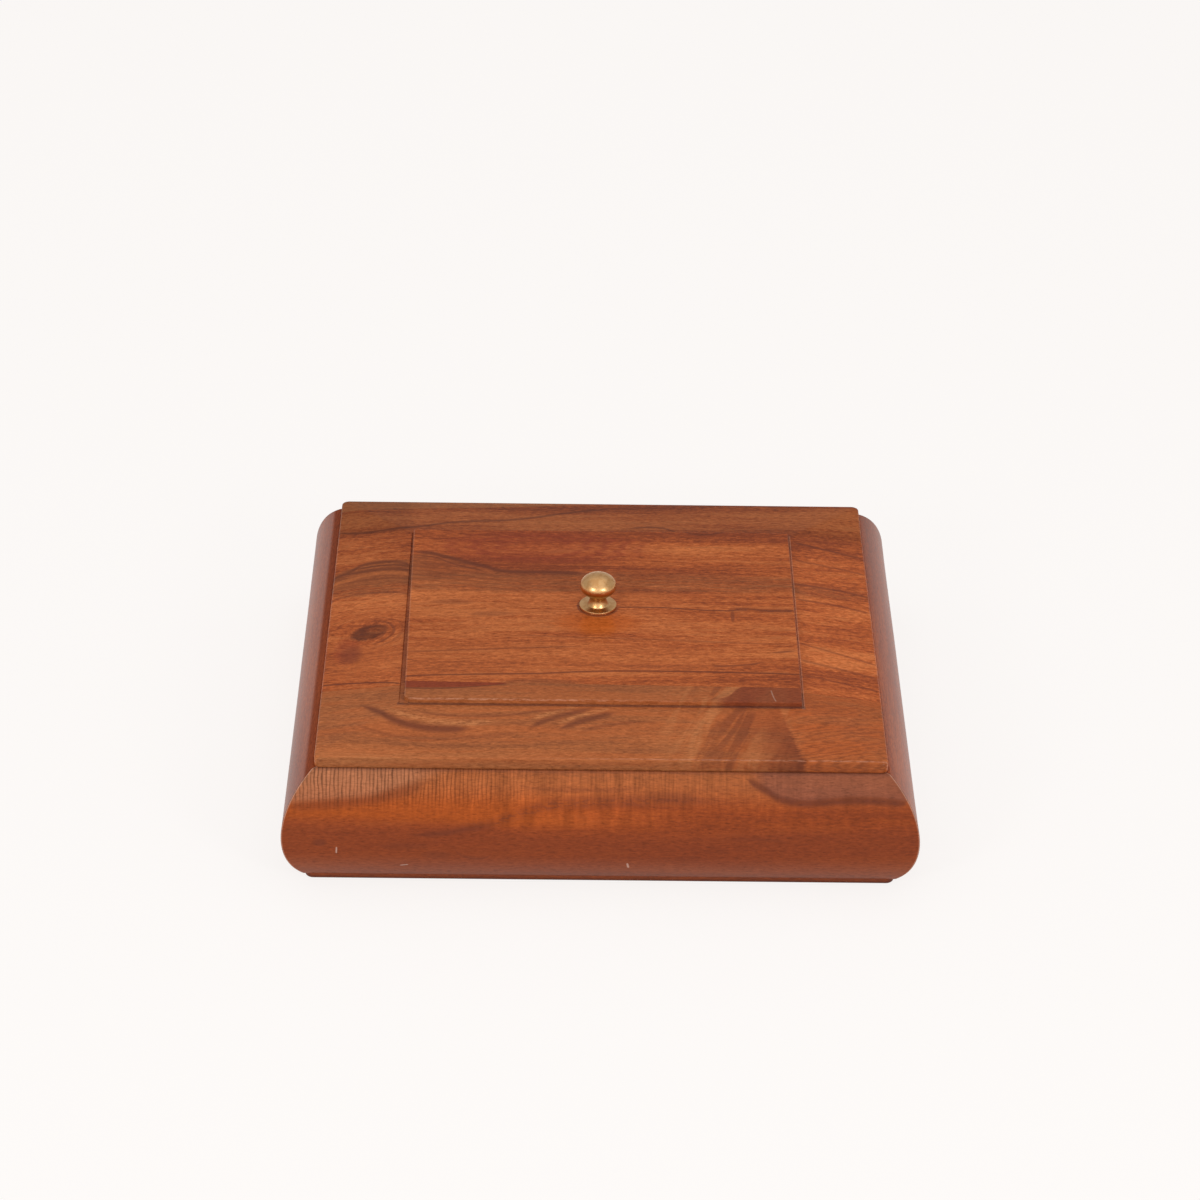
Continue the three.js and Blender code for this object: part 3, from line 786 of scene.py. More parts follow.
def bare_wood():
    """Wood without varnish, with the grain from front to back."""
    pale = tuple(colours().plain)
    dark = tuple(channel * 0.55 for channel in pale)
    surface = new_material("bare_wood")
    x, y, z = surface.place_mm()
    board = Board(surface, y, x, z, seed=5.7)
    pore = board.pores.step(0.6, 0.74)
    shade = surface.ramp(board.zones * 0.5 + board.bands * 0.6, (0.36, dark), (0.66, pale))
    return surface.finish(
        Base_Color=surface.mix(pore * 0.35, shade, dark),
        Roughness=board.fibre * 0.15 + 0.62,
        Specular_IOR_Level=0.3,
        Normal=surface.bump(0.3, 0.15, board.fibre - pore),
    )


def turned_brass():
    """Satin brass with cloudy tarnish and fine turning marks, and painted shade below the knob's
    head.
    """
    tones = colours()
    surface = new_material("turned_brass")
    x, y, z = surface.place_mm()
    place = surface.vector(x, y, z)
    cloud = surface.noise(place, (0.32, 0.32, 0.32), 3.0, 0.6)
    speck = surface.noise(place, (2.6, 2.6, 2.6), 2.0, 0.6)
    turning = surface.noise(place, (0.1, 0.1, 7.0), 1.0)
    tarnish = tuple(channel * share for channel, share in zip(tones.brass, (0.8, 0.68, 0.54)))
    tarnished = cloud.step(0.4, 0.62) * 0.7 + speck.step(0.5, 0.7) * 0.25
    # painted shade under the knob's head: tinted duller and darkened
    below = z.step(85.5, 83.0) * z.step(76.0, 78.5)
    shade = surface.mix(below * 0.6, surface.mix(tarnished, tones.brass, tarnish), tones.shaded_brass)
    return surface.finish(
        Base_Color=surface.toned(shade, 1.0 - below * 0.3),
        Metallic=1.0,
        Roughness=speck * 0.1 + cloud * 0.16 + 0.2,
        Coat_Weight=0.15,
        Coat_Roughness=0.14,
        Coat_IOR=1.4,
        Normal=surface.bump(0.12, 0.04, turning + speck * 0.6),
    )


def plated_steel():
    """Zinc-plated steel with a faint mottle."""
    bright = colours().steel
    dull = tuple(channel * 0.7 for channel in bright)
    surface = new_material("plated_steel")
    mottle = surface.noise(surface.vector(*surface.place_mm()), (1.4, 1.4, 1.4), 3.0, 0.6)
    return surface.finish(
        Base_Color=surface.mix(mottle.step(0.35, 0.7), bright, dull),
        Metallic=1.0,
        Roughness=mottle * 0.2 + 0.25,
        Normal=surface.bump(0.1, 0.05, mottle),
    )


# Shapes

REAL_EDGE = math.radians(32)
ROUNDED_EDGE = math.radians(40)
END_CORNERS = 8


@contextmanager
def edited(mesh):
    """Gives a mesh's faces and edges to change, and puts them back into it."""
    body = bmesh.new()
    body.from_mesh(mesh)
    yield body
    body.to_mesh(mesh)
    body.free()


def linked(name, data):
    thing = bpy.data.objects.new(name, data)
    bpy.context.scene.collection.objects.link(thing)
    return thing


def mesh_object(name, mesh, material, flat_ends=False):
    """An object at the origin, smooth but for its real edges and, if asked, its flat ends."""
    mesh.materials.clear()
    mesh.materials.append(material)
    mesh.shade_smooth()
    mesh.set_sharp_from_angle(angle=REAL_EDGE)
    for face in mesh.polygons:
        if flat_ends and len(face.vertices) > END_CORNERS:
            face.use_smooth = False
    return linked(name, mesh)


def mesh_from(name, points, faces):
    """A closed mesh from points in metres, facing outwards."""
    mesh = bpy.data.meshes.new(name)
    mesh.from_pydata(points, [], faces)
    with edited(mesh) as body:
        bmesh.ops.recalc_face_normals(body, faces=body.faces)
    return mesh


def stand_for(piece, node, body):
    """Makes a piece show in place of a CAD node, riding on that node's body."""
    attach(piece, body)
    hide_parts(node)


def turned(profile, steps):
    """Points and faces of a profile of radius and height, in millimetres, turned about Z."""
    points = []
    rows = []
    for radius, height in profile:
        if radius == 0:
            rows.append([len(points)] * steps)
            points.append((0, 0, height * MM))
            continue
        rows.append(range(len(points), len(points) + steps))
        for step in range(steps):
            angle = math.tau * step / steps
            place = (radius * math.cos(angle) * MM, radius * math.sin(angle) * MM, height * MM)
            points.append(place)
    faces = []
    for low, high in zip(rows, rows[1:]):
        for step in range(steps):
            after = (step + 1) % steps
            corners = (low[step], low[after], high[after], high[step])
            kept = [corner for place, corner in enumerate(corners) if corner != corners[place - 1]]
            if len(kept) > 2:
                faces.append(kept)
    return points, faces


def joined(name, *shapes):
    """One mesh of several shapes, each given as its points and faces, and where it goes."""
    points, faces = [], []
    for (shape_points, shape_faces), place in shapes:
        start = len(points)
        points += [place @ Vector(point) for point in shape_points]
        faces += [[corner + start for corner in face] for face in shape_faces]
    return mesh_from(name, points, faces)


def cut(piece, cutter_mesh):
    """Takes a cutter out of a piece's mesh for good."""
    cutter = linked("cutter", cutter_mesh)
    modifier = piece.modifiers.new("cut", "BOOLEAN")
    modifier.object = cutter
    modifier.operation = "DIFFERENCE"
    modifier.solver = "EXACT"
    bpy.context.view_layer.update()
    evaluated = piece.evaluated_get(bpy.context.evaluated_depsgraph_get())
    cut_mesh = bpy.data.meshes.new_from_object(evaluated)
    old = piece.data
    cut_mesh.name = old.name
    piece.modifiers.clear()
    piece.data = cut_mesh
    bpy.data.objects.remove(cutter)
    bpy.data.meshes.remove(cutter_mesh)
    bpy.data.meshes.remove(old)


def rounded(piece, width, steps=2, weighted=False):
    bevel = piece.modifiers.new("rounded_edges", "BEVEL")
    bevel.width = width
    bevel.segments = steps
    bevel.limit_method = "WEIGHT" if weighted else "ANGLE"
    bevel.angle_limit = ROUNDED_EDGE
    bevel.harden_normals = True


def corner_loop(right, back, radius, height, per_side, first_radius=None):
    """A rectangle round the Z axis with rounded corners, from its front left one, going right."""
    corner_steps = 6
    corners = [(-right, -back), (right, -back), (right, back), (-right, back)]
    radii = [first_radius or radius, radius, radius, radius]
    loop = []
    for place, (x, y) in enumerate(corners):
        turn = radii[place]
        centre = (x - math.copysign(turn, x), y - math.copysign(turn, y))
        for step in range(corner_steps + 1):
            angle = math.pi / 2 * (place + 2 + step / corner_steps)
            loop.append((centre[0] + turn * math.cos(angle), centre[1] + turn * math.sin(angle)))
        next_x, next_y = corners[(place + 1) % 4]
        turn = radii[(place + 1) % 4]
        begin = loop[-1]
        if place % 2 == 0:
            end = (next_x - math.copysign(turn, next_x), y)
        else:
            end = (x, next_y - math.copysign(turn, next_y))
        for step in range(1, per_side):
            share = step / per_side
            loop.append([start + (stop - start) * share for start, stop in zip(begin, end)])
    return [Vector((x, y, height)) for x, y in loop]


def skinned(rows):
    """Points and faces of a closed body whose skin runs through loops of as many points."""
    count = len(rows[0])
    points = [point for loop in rows for point in loop]
    faces = []
    for near in range(0, (len(rows) - 1) * count, count):
        far = near + count
        for step in range(count):
            after = (step + 1) % count
            faces.append((near + step, near + after, far + after, far + step))
    faces += [list(range(count)), list(range(len(points) - count, len(points)))]
    return points, faces


def box_shape(low, high):
    """Points and faces of a plain block between two corners, for a cutter."""
    across, deep, up = zip(low, high)
    points = [(x, y, z) for z in up for y in deep for x in across]
    faces = [(0, 2, 3, 1), (4, 5, 7, 6), (0, 1, 5, 4), (2, 6, 7, 3), (0, 4, 6, 2), (1, 3, 7, 5)]
    return points, faces


# Screws, in millimetres

SCREW_HEAD = 7.0
SCREW_SHANK = 3.5
SCREW_RECESS = 0.3
SCREW_GAP = 0.3
SLOT_WIDTH = 0.9
SLOT_DEPTH = 1.0
SCREW_STEPS = 40


def screw_profile(reach):
    """A countersunk wood screw, head down at height 0, up to its point."""
    head, shank, bevel = SCREW_HEAD / 2, SCREW_SHANK / 2, 0.15
    foot = [(0, 0), (head - bevel, 0), (head, bevel)]
    return [*foot, (shank, head - shank), (shank, reach - 2 * shank), (0, reach)]


def screw_hole_shape(reach):
    head, shank = SCREW_HEAD / 2 + SCREW_GAP, SCREW_SHANK / 2 + SCREW_GAP
    mouth = -SCREW_RECESS - 1
    foot = [(0, mouth), (head, mouth), (head, SCREW_GAP), (shank, SCREW_GAP + head - shank)]
    tip = reach + SCREW_GAP
    return turned([*foot, (shank, tip - 2 * shank), (0, tip)], SCREW_STEPS)


def node_foot(node):
    """The middle of a CAD node's lowest face, and the node's height in metres."""
    low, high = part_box(node)
    return Vector(((low[0] + high[0]) / 2, (low[1] + high[1]) / 2, low[2])), high[2] - low[2]


def screw_holes(nodes):
    """Cutters for the holes that these screws sit in."""
    shapes = []
    for node in nodes:
        foot, reach = node_foot(node)
        shapes.append((screw_hole_shape(reach / MM), Matrix.Translation(foot)))
    return joined("holes", *shapes)


def nodes_with(part):
    return sorted(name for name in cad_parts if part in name)


def slotted(name, profile, foot, turn, material, head, slot_floor):
    """A turned screw with a slot across its head, set down on foot."""
    place = Matrix.Translation(foot) @ Matrix.Rotation(turn, 4, "Z")
    screw = mesh_object(name, joined(name, (turned(profile, SCREW_STEPS), place)), material)
    reach = (head + 1) * MM
    low = (-reach, -SLOT_WIDTH / 2 * MM, (slot_floor - 1 - SLOT_DEPTH) * MM)
    high = (reach, SLOT_WIDTH / 2 * MM, slot_floor * MM)
    cut(screw, joined("slot", (box_shape(low, high), place)))
    return screw


# Walls

LOWER_STEPS = 22
UPPER_STEPS = 34
WALL_STATIONS = 56
FADE_HEIGHT = 6 * MM
WAVERS_PER_METRE = (14, 30)
SIDE_SHIFT = 7.3


def arc(inset, height, steps):
    """Points on the circle that leaves the bulge upright and reaches inset and height."""
    radius = (inset**2 + height**2) / (2 * inset)
    sweep = math.asin(height / radius)
    angles = [sweep * (step + 1) / steps for step in range(steps)]
    return [(radius * (1 - math.cos(angle)), radius * math.sin(angle)) for angle in angles]


def wall_section(size, rim_height):
    """Inset from the bulge and height of each point, from the foot up and round the rim."""
    lower = arc(size.foot_inset, size.bulge_height - size.wall_foot, LOWER_STEPS)
    upper = arc(size.rim_inset, rim_height - size.bulge_height, UPPER_STEPS)
    inner = size.rim_inset + size.rim_thickness
    quarters = (0.25, 0.5, 0.75)
    return [
        *[(inset, size.bulge_height - height) for inset, height in reversed(lower)],
        (0, size.bulge_height),
        *[(inset, size.bulge_height + height) for inset, height in upper],
        *[(size.rim_inset + size.rim_thickness * share, rim_height) for share in quarters],
        (inner, rim_height),
        *[
            (inner, size.wall_foot + (rim_height - size.wall_foot) * share)
            for share in reversed(quarters)
        ],
        (inner, size.wall_foot),
        ((size.foot_inset + inner) / 2, size.wall_foot),
    ]


def wall_mesh(name, turn, half_length, half_depth, rim_height):
    """One wall, mitred at both ends, turned to its side of the box."""
    size = sizes()
    section = wall_section(size, rim_height)
    setback = size.glue_line * math.sqrt(0.5)
    spin = Matrix.Rotation(turn * math.pi / 2, 4, "Z")
    wavers_along, wavers_up = WAVERS_PER_METRE
    rows = []
    for station in range(WALL_STATIONS + 1):
        share = 2 * station / WALL_STATIONS - 1
        row = []
        for inset, height in section:
            x = share * (half_length - inset - setback)
            away = 0
            if inset < size.rim_inset:
                place = Vector((x * wavers_along, height * wavers_up, turn * SIDE_SHIFT))
                ripple = noise.noise(place)
                away = size.wall_waver * 0.5 * (1 + ripple) * (1 - share**8)
                away *= min(1, (rim_height - height) / FADE_HEIGHT)
                away *= min(1, (height - size.wall_foot) / FADE_HEIGHT)
            row.append(spin @ Vector((x, inset + away - half_depth, height)))
        rows.append(row)
    return mesh_from(name, *skinned(rows))


def weigh_edges(mesh, turn, corner_step, mitre_share):
    """Marks a wall's long edges for a full rounding and its mitred ones for a share of it."""
    weight = "bevel_weight_edge"
    least_angle, parallel, near_mitre = math.radians(28), 0.98, 1.2 * MM
    along = Vector((1, 0, 0)) if turn % 2 == 0 else Vector((0, 1, 0))
    with edited(mesh) as body:
        layer = body.edges.layers.float.get(weight) or body.edges.layers.float.new(weight)
        for edge in body.edges:
            if len(edge.link_faces) != 2 or edge.calc_face_angle(0) < least_angle:
                continue
            first, second = edge.verts[0].co, edge.verts[1].co
            middle = (first + second) / 2
            if abs((first - second).normalized().dot(along)) > parallel:
                edge[layer] = 1.0
            elif abs(abs(middle.x) - abs(middle.y) - corner_step) < near_mitre:
                edge[layer] = mitre_share


def spline_slots(side):
    """Cutters for the slots that the splines at both ends of a wall sit in."""
    gap = 0.3 * MM
    half_width, half_thickness, below = 6 * MM + gap, 1.5 * MM + gap, 1 * MM
    shapes = []
    for name in nodes_with("corner_spline"):
        if side in name:
            low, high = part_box(name)
            middle = (Vector(low) + Vector(high)) / 2
            angle = math.pi / 4 if middle.x * middle.y < 0 else -math.pi / 4
            foot, top = low[2] - below - middle.z, high[2] + gap - middle.z
            corners = (-half_width, -half_thickness, foot), (half_width, half_thickness, top)
            place = Matrix.Translation(middle) @ Matrix.Rotation(angle, 4, "Z")
            shapes.append((box_shape(*corners), place))
    return joined("slots", *shapes)


class STORAGEBOX_OT_walls(bpy.types.Operator):
    """Shapes the four rounded, mitred walls"""

    bl_idname = "storage_box.walls"
    bl_label = "Walls"

    def execute(self, context):
        size = sizes()
        low, high = CAD_BOX
        half_width, half_depth = (high[0] - low[0]) / 2, (high[1] - low[1]) / 2
        woods = {
            "front": front_wall_wood(),
            "right": side_wall_wood("right_wall_wood", True, 121.0),
            "back": side_wall_wood("back_wall_wood", False, 167.0),
            # only the left wall gets the painted shade beside the lid
            "left": side_wall_wood("left_wall_wood", True, 203.0, 1.0),
        }
        for side, turn in SIDES:
            node = f"{side}_wall"
            name = f"{node}_shaped"
            rim_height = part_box(node)[1][2]
            reaches = (half_width, half_depth) if turn % 2 == 0 else (half_depth, half_width)
            mesh = wall_mesh(name, turn, *reaches, rim_height)
            wall = mesh_object(name, mesh, woods[side])
            cut(wall, screw_holes([f"{node}_screw_1", f"{node}_screw_2"]))
            cut(wall, spline_slots(side))
            mitre_share = size.mitre_round / size.rim_round
            weigh_edges(wall.data, turn, half_width - half_depth, mitre_share)
            rounded(wall, size.rim_round, 3, weighted=True)
            stand_for(wall, node, "box")
        return {"FINISHED"}


def base_mesh(size, low, high):
    """The base board, with rounded edges and corners."""
    steps = 5
    angles = [math.pi / 2 * step / steps for step in range(steps + 1)]
    lower = [(1 - math.sin(angle), 1 - math.cos(angle)) for angle in angles]
    rows = []
    for upward in (False, True):
        for share_in, share_up in reversed(lower) if upward else lower:
            inset, rise = share_in * size.base_round, share_up * size.base_round
            height = high[2] - rise if upward else low[2] + rise
            corner = size.base_corner - inset
            rows.append(corner_loop(high[0] - inset, high[1] - inset, corner, height, per_side=8))
    return mesh_from("base_board_shaped", *skinned(rows))


class STORAGEBOX_OT_base_and_splines(bpy.types.Operator):
    """Shapes the base board and finishes the battens and splines, whose CAD shapes are right"""

    bl_idname = "storage_box.base_and_splines"
    bl_label = "Base board, battens and splines"

    def execute(self, context):
        # the base board's foot is darkened with painted shade
        material = side_wall_wood("base_wood", False, 251.0, foot_shade_level=0.4)
        mesh = base_mesh(sizes(), *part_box("base_board"))
        base = mesh_object("base_board_shaped", mesh, material, True)
        cut(base, screw_holes(nodes_with("wall_screw")))
        stand_for(base, "base_board", "box")
        bare = bare_wood()
        for name in [*nodes_with("corner_spline"), "left_batten", "right_batten"]:
            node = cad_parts[name]
            node.data.materials.clear()
            node.data.materials.append(bare)
            weld = node.modifiers.new("weld", "WELD")
            weld.merge_threshold = 0.001 * MM
            rounded(node, 0.3 * MM)
        return {"FINISHED"}


class STORAGEBOX_OT_screws(bpy.types.Operator):
    """Turns the countersunk screws of the base board and the battens"""

    bl_idname = "storage_box.screws"
    bl_label = "Wood screws"

    def execute(self, context):
        material = plated_steel()
        for row, node in enumerate(nodes_with("wall_screw") + nodes_with("batten_screw")):
            foot, reach = node_foot(node)
            profile = screw_profile(reach / MM)
            turn = 0.7 * row
            screw = slotted(f"{node}_turned", profile, foot, turn, material, SCREW_HEAD, SLOT_DEPTH)
            stand_for(screw, node, "box" if "wall" in node else "lid")
        return {"FINISHED"}


# Lid

SIDE_STEPS = 30
UNDER_ROUND = 0.5 * MM
EDGE_MIDDLE = 2.5 * MM
FIELD_CORNER = 0.6 * MM
GROOVE_CORNER = 0.5 * MM
KNOB_HOLE = 2.5
KNOB_HOLE_REACH = 30


def lid_mesh(size, high, underside):
    """The whole lid as one body, from its underside up over the margin to the raised field."""
    half_width, half_depth = high[0], high[1]
    edge_top = underside + size.lid_edge
    field_top = high[2]
    corner = size.lid_corner
    rows = []

    def row(side_inset, front_inset, height, radius, first_radius=None):
        right, back = half_width - side_inset, half_depth - front_inset
        rows.append(corner_loop(right, back, radius, height, SIDE_STEPS, first_radius))

    def field_row(inset, height):
        side, front = size.side_margin + inset, size.front_margin + inset
        row(side, front, height, FIELD_CORNER, size.worn_corner)
        right, back = half_width - size.side_margin, half_depth - size.front_margin
        for point in rows[-1]:
            forward = (back - point.y) / (2 * back)
            point.x += size.quirk_spread * forward * max(0, -point.x / right)

    for step in range(4):
        angle = math.pi / 6 * step
        inset = UNDER_ROUND * (1 - math.sin(angle))
        row(inset, inset, underside + UNDER_ROUND * (1 - math.cos(angle)), corner - inset)
    row(0, 0, underside + EDGE_MIDDLE, corner)

    edge_round = size.lid_edge_round
    slope = math.atan2(size.margin_rise, size.side_margin)
    start, climbed = edge_round * math.cos(slope), edge_round * math.sin(slope)
    edge_steps = 8
    for step in range(edge_steps + 1):
        share = step / edge_steps
        inset = start * share**2
        height = (
            (1 - share) ** 2 * (edge_top - edge_round)
            + 2 * share * (1 - share) * edge_top
            + share**2 * (edge_top + climbed)
        )
        row(inset, inset, height, corner + inset * 0.3)

    quirk = size.quirk_width
    margin_steps = 12
    for step in range(1, margin_steps + 1):
        share = step / margin_steps
        side = start + (size.side_margin - quirk - start) * share
        front = start + (size.front_margin - quirk - start) * share
        height = edge_top + size.margin_rise * side / size.side_margin
        row(side, front, height, corner * (1 - share) + FIELD_CORNER * share)
    floor = edge_top + size.margin_rise - size.quirk_depth
    for share, rise in ((0.8, 0.25 * MM), (0.6, 0)):
        inset = quirk * share
        row(size.side_margin - inset, size.front_margin - inset, floor + rise, GROOVE_CORNER)

    field_row(quirk * -0.25, floor)
    field_row(0, floor + 0.3 * MM)
    arris_steps = 4
    for step in range(arris_steps + 1):
        angle = math.pi / 2 * step / arris_steps
        rise = size.field_arris * math.sin(angle)
        field_row(size.field_arris * (1 - math.cos(angle)), field_top - size.field_arris + rise)
    return mesh_from("lid_boards", *skinned(rows))


def strip_of(mesh, name, through, square, keep_front):
    """A copy of a mesh, cut upright through a point, square to a direction, and closed there."""
    strip = mesh.copy()
    strip.name = name
    with edited(strip) as body:
        cut_line = bmesh.ops.bisect_plane(
            body,
            geom=[*body.verts, *body.edges, *body.faces],
            dist=1e-7,
            plane_co=through,
            plane_no=square,
            clear_outer=keep_front,
            clear_inner=not keep_front,
        )
        edges = [item for item in cut_line["geom_cut"] if isinstance(item, bmesh.types.BMEdge)]
        bmesh.ops.edgeloop_fill(body, edges=edges)
        bmesh.ops.recalc_face_normals(body, faces=body.faces)
    return strip


class STORAGEBOX_OT_lid(bpy.types.Operator):
    """Shapes the lid's two edge-glued boards with the raised field and its groove"""

    bl_idname = "storage_box.lid"
    bl_label = "Lid boards"

    def execute(self, context):
        size = sizes()
        front_low, front_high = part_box("lid_front_board")
        back_low, back_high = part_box("lid_back_board")
        whole = lid_mesh(size, back_high, front_low[2])
        left_end = Vector((front_low[0], front_high[1], 0))
        right_end = Vector((back_high[0], back_low[1], 0))
        slant = left_end.y - right_end.y + size.glue_line
        square = Vector((slant, right_end.x - left_end.x, 0)).normalized()
        boards = (
            ("lid_front_board", left_end, True, lid_front_wood(), "lid_front_wood"),
            ("lid_back_board", right_end, False, lid_back_wood(), "lid_wood"),
        )
        for node, end, is_front, material, slot in boards:
            name = f"{node}_shaped"
            mesh = strip_of(whole, name, end, square, is_front)
            board = mesh_object(name, mesh, material, True)
            screws = nodes_with("batten_screw")
            cut(board, screw_holes([s for s in screws if (node_foot(s)[0].y < end.y) == is_front]))
            if not is_front:
                foot, _ = node_foot("knob_screw")
                sides = [(KNOB_HOLE, 0), (KNOB_HOLE, KNOB_HOLE_REACH)]
                hole = turned([(0, 0), *sides, (0, KNOB_HOLE_REACH)], SCREW_STEPS)
                cut(board, joined("hole", (hole, Matrix.Translation(foot))))
            stand_for(board, node, "lid")
        bpy.data.meshes.remove(whole)
        return {"FINISHED"}


# Knob and its fixing, in millimetres

KNOB_STEPS = 96
KNOB_SCREW_HEAD = 8
KNOB_SCREW_TURN = 0.5
KNOB_SLOT_FLOOR = 1.1

def knob_profile():
    """Radius and height of the knob in millimetres: bore, flange, cove, stem, flattened ball."""
    flange, thickness, foot = 9.4, 1.4, 5.8
    cove, neck, neck_length = 3.4, 4.1, 1.85
    head, head_height = 9.2, 12.4
    soft, step_in, step_up = 0.3, 0.6, 0.4
    profile = [
        (0, 9),
        (2.3, 8),
        (2.3, 0),
        (flange - soft, 0),
        (flange, soft),
        (flange, thickness - soft),
        (flange - soft * 0.3, thickness - soft * 0.3),
        (flange - soft, thickness),
        (foot, thickness),
        (foot - 0.4, thickness + 0.14),
        (foot - step_in, thickness + step_up),
    ]
    cove_steps = 12
    for step in range(1, cove_steps + 1):
        share = step / cove_steps
        narrowed = neck + (foot - step_in - neck) * (1 - share) ** 1.8
        profile.append((narrowed, thickness + step_up + cove * share))
    neck_angle = math.asin(neck / head)
    centre = thickness + cove + neck_length + head_height / 2 * math.cos(neck_angle)
    ball_steps = 44
    for step in range(ball_steps + 1):
        angle = neck_angle + (math.pi - neck_angle) * step / ball_steps
        radius = 0 if step == ball_steps else head * math.sin(angle)
        profile.append((radius, centre - head_height / 2 * math.cos(angle)))
    return profile


def knob_screw_profile(top):
    """Radius and height of the knob's screw in millimetres, its domed head down."""
    head, dome_height, shank, bevel, steps = KNOB_SCREW_HEAD / 2, 2.6, 2, 0.5, 8
    angles = [math.pi / 2 * step / steps for step in range(steps + 1)]
    dome = [(head * math.sin(angle), dome_height * (1 - math.cos(angle))) for angle in angles]
    return [*dome, (shank, dome_height), (shank, top - bevel), (shank - bevel, top), (0, top)]


def washer_mesh(name, place):
    """A flat ring with softened outer edges."""
    inner, outer, thickness, soft = 2.5, 6.0, 1, 0.15
    ring = [(inner, 0), (outer - soft, 0), (outer, soft), (outer, thickness - soft)]
    ring += [(outer - soft, thickness), (inner, thickness), (inner, 0)]
    mesh = joined(name, (turned(ring, 64), place))
    with edited(mesh) as body:
        bmesh.ops.remove_doubles(body, verts=body.verts, dist=1e-6)
        bmesh.ops.recalc_face_normals(body, faces=body.faces)
    return mesh


class STORAGEBOX_OT_knob(bpy.types.Operator):
    """Turns the brass knob, its screw and the washer under the lid"""

    bl_idname = "storage_box.knob"
    bl_label = "Knob"

    def execute(self, context):
        foot, _ = node_foot("knob")
        ball = turned(knob_profile(), KNOB_STEPS)
        mesh = joined("knob_turned", (ball, Matrix.Translation(foot)))
        stand_for(mesh_object("knob_turned", mesh, turned_brass()), "knob", "lid")

        steel = bpy.data.materials["plated_steel"]
        foot, reach = node_foot("knob_screw")
        profile = knob_screw_profile(reach / MM)
        slot = (KNOB_SCREW_HEAD, KNOB_SLOT_FLOOR)
        screw = slotted("knob_screw_turned", profile, foot, KNOB_SCREW_TURN, steel, *slot)
        stand_for(screw, "knob_screw", "lid")

        foot, _ = node_foot("knob_washer")
        mesh = washer_mesh("knob_washer_turned", Matrix.Translation(foot))
        washer = mesh_object("knob_washer_turned", mesh, steel)
        stand_for(washer, "knob_washer", "lid")
        return {"FINISHED"}


# Studio

CAMERA_PLACE = (-17.79, -1725.67, 1085.6)
CAMERA_LENS = 119.465
LAMP_WIDTH = 0.35
TOP_LAMP_WIDTH = 2
FLOOR_REACH = 6


def ray(surface, kind):
    return surface.add("ShaderNodeLightPath", None, None, output=f"Is {kind} Ray")


def floor_material():
    """White as the camera, gloss and glass see it, with the box's shadow still on it."""
    tone = (*colours().floor, 1)
    surface = new_material("pale_floor")
    plain = surface.add("ShaderNodeBsdfDiffuse", None, {"Color": tone})
    bright = surface.add("ShaderNodeEmission", None, {"Color": tone, "Strength": 1.0})
    seen = strongest([ray(surface, kind) for kind in ("Camera", "Glossy", "Transmission")])
    both = surface.add("ShaderNodeMixShader", None, {0: seen * 0.86, 1: plain, 2: bright})
    surface.add("ShaderNodeOutputMaterial", None, {0: both})
    return surface.owner


def make_world():
    """An even light, which gloss shows dimmer behind and beside the box than in front of it."""
    light = studio()
    world = bpy.data.worlds.new("studio")
    bpy.context.scene.world = world
    surface = Surface(world)
    way = surface.add("ShaderNodeTexCoord", None, None, output=0)
    rearward = surface.add("ShaderNodeSeparateXYZ", None, {0: way}, output=1)
    glossy, camera = ray(surface, "Glossy"), ray(surface, "Camera")
    dimmed = rearward.step(0.0, -0.9) * (1 - light.room) + light.room
    others = (1.0 - camera.larger(glossy)) * light.world
    level = strongest([camera, glossy * dimmed, others])
    sockets = {"Color": (*colours().floor, 1), "Strength": level}
    shade = surface.add("ShaderNodeBackground", None, sockets)
    surface.add("ShaderNodeOutputWorld", None, {0: shade})


def add_lamp(name, power, width, place, target):
    lamp = bpy.data.lights.new(name, "AREA")
    lamp.shape = "RECTANGLE"
    lamp.size = lamp.size_y = width
    lamp.energy = power
    thing = linked(name, lamp)
    thing.location = place
    way = Vector(target) - Vector(place)
    thing.rotation_euler = way.to_track_quat("-Z", "Y").to_euler()


def add_camera():
    """Stands where the photograph was taken from."""
    pitch, yaw, roll = math.radians(30.227), math.radians(0.569), math.radians(0.912)
    flat = math.cos(pitch)
    forward = Vector((math.sin(yaw) * flat, math.cos(yaw) * flat, -math.sin(pitch)))
    level = Vector((math.cos(yaw), -math.sin(yaw), 0))
    upright = level.cross(forward)
    right = math.cos(roll) * level + math.sin(roll) * upright
    up = math.cos(roll) * upright - math.sin(roll) * level
    data = bpy.data.cameras.new("camera")
    data.sensor_width = 36
    data.lens = CAMERA_LENS
    data.clip_end = 50
    camera = linked("camera", data)
    turn = Matrix((right, up, -forward)).transposed().to_4x4()
    camera.matrix_world = Matrix.Translation([way * MM for way in CAMERA_PLACE]) @ turn
    bpy.context.scene.camera = camera


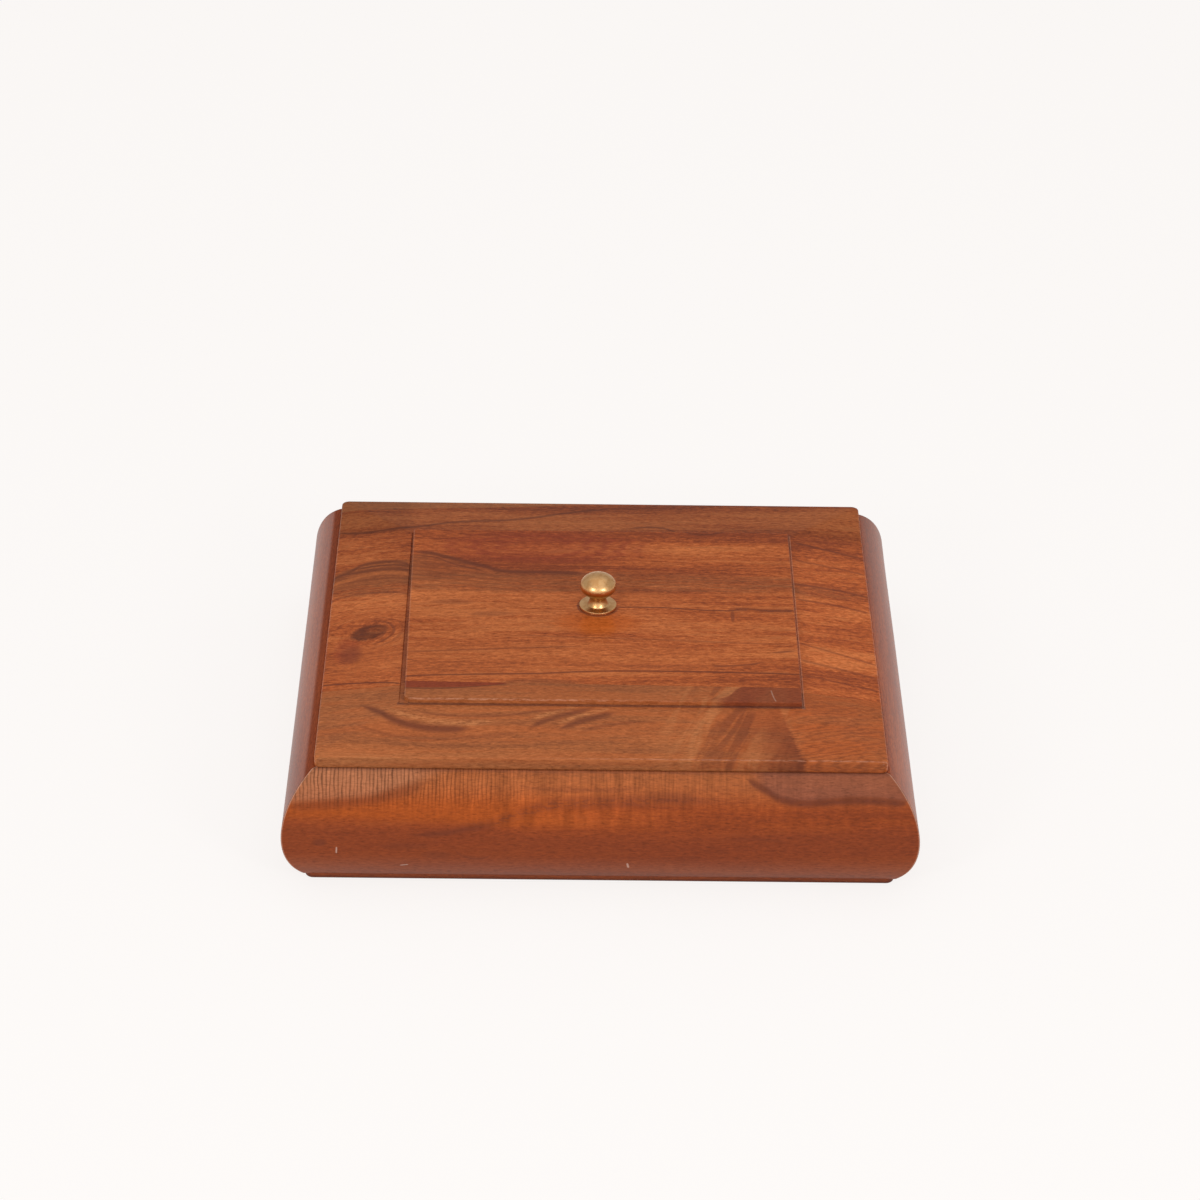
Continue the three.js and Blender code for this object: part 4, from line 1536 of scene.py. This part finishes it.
class STORAGEBOX_OT_studio(bpy.types.Operator):
    """Sets up the camera, the pale floor and the soft studio light"""

    bl_idname = "storage_box.studio"
    bl_label = "Studio"

    def execute(self, context):
        light = studio()
        add_camera()
        turns = ((-1, -1), (1, -1), (1, 1), (-1, 1))
        corners = [(x * FLOOR_REACH, y * FLOOR_REACH, 0) for x, y in turns]
        floor_mesh = bpy.data.meshes.new("floor")
        floor_mesh.from_pydata(corners, [], [(0, 1, 2, 3)])
        floor_mesh.materials.append(floor_material())
        floor = linked("floor", floor_mesh)
        middle = (0, 0, 0.05)
        azimuth, height, distance = math.radians(34), math.radians(27), 1.7
        flat = distance * math.cos(height)
        forward, up = flat * math.cos(azimuth), distance * math.sin(height)
        for name, side in (("left_lamp", -1), ("right_lamp", 1)):
            place = (flat * math.sin(azimuth) * side, -forward, up)
            add_lamp(name, light.lamp_power, LAMP_WIDTH, place, middle)
        add_lamp("top_lamp", light.top_power, TOP_LAMP_WIDTH, (0, 0.1, distance), middle)
        make_world()
        context.scene.view_settings.view_transform = "Standard"
        return {"FINISHED"}


class STORAGEBOX_PT_panel(bpy.types.Panel):
    """Lists the steps that dress the box, with their sizes and colours"""

    bl_idname = "STORAGEBOX_PT_panel"
    bl_label = "Storage Box"
    bl_space_type = "VIEW_3D"
    bl_region_type = "UI"
    bl_category = "Storage Box"

    def draw(self, context):
        for operator in OPERATORS:
            self.layout.operator(operator.bl_idname)
        for group in (sizes(), colours(), studio()):
            column = self.layout.column()
            for name in type(group).__annotations__:
                column.prop(group, name)


GROUPS = (
    ("storage_box_sizes", StorageBoxSizes),
    ("storage_box_colours", StorageBoxColours),
    ("storage_box_studio", StorageBoxStudio),
)
OPERATORS = (
    STORAGEBOX_OT_studio,
    STORAGEBOX_OT_walls,
    STORAGEBOX_OT_base_and_splines,
    STORAGEBOX_OT_screws,
    STORAGEBOX_OT_lid,
    STORAGEBOX_OT_knob,
)


def register():
    for name, group in GROUPS:
        bpy.utils.register_class(group)
        setattr(bpy.types.Scene, name, PointerProperty(type=group))
    for item in (*OPERATORS, STORAGEBOX_PT_panel):
        bpy.utils.register_class(item)


def unregister():
    for item in reversed((*OPERATORS, STORAGEBOX_PT_panel)):
        bpy.utils.unregister_class(item)
    for name, group in reversed(GROUPS):
        delattr(bpy.types.Scene, name)
        bpy.utils.unregister_class(group)


def main():
    register()
    bpy.ops.storage_box.studio()
    bpy.ops.storage_box.walls()
    bpy.ops.storage_box.base_and_splines()
    bpy.ops.storage_box.screws()
    bpy.ops.storage_box.lid()
    bpy.ops.storage_box.knob()


if __name__ == "__main__":
    main()
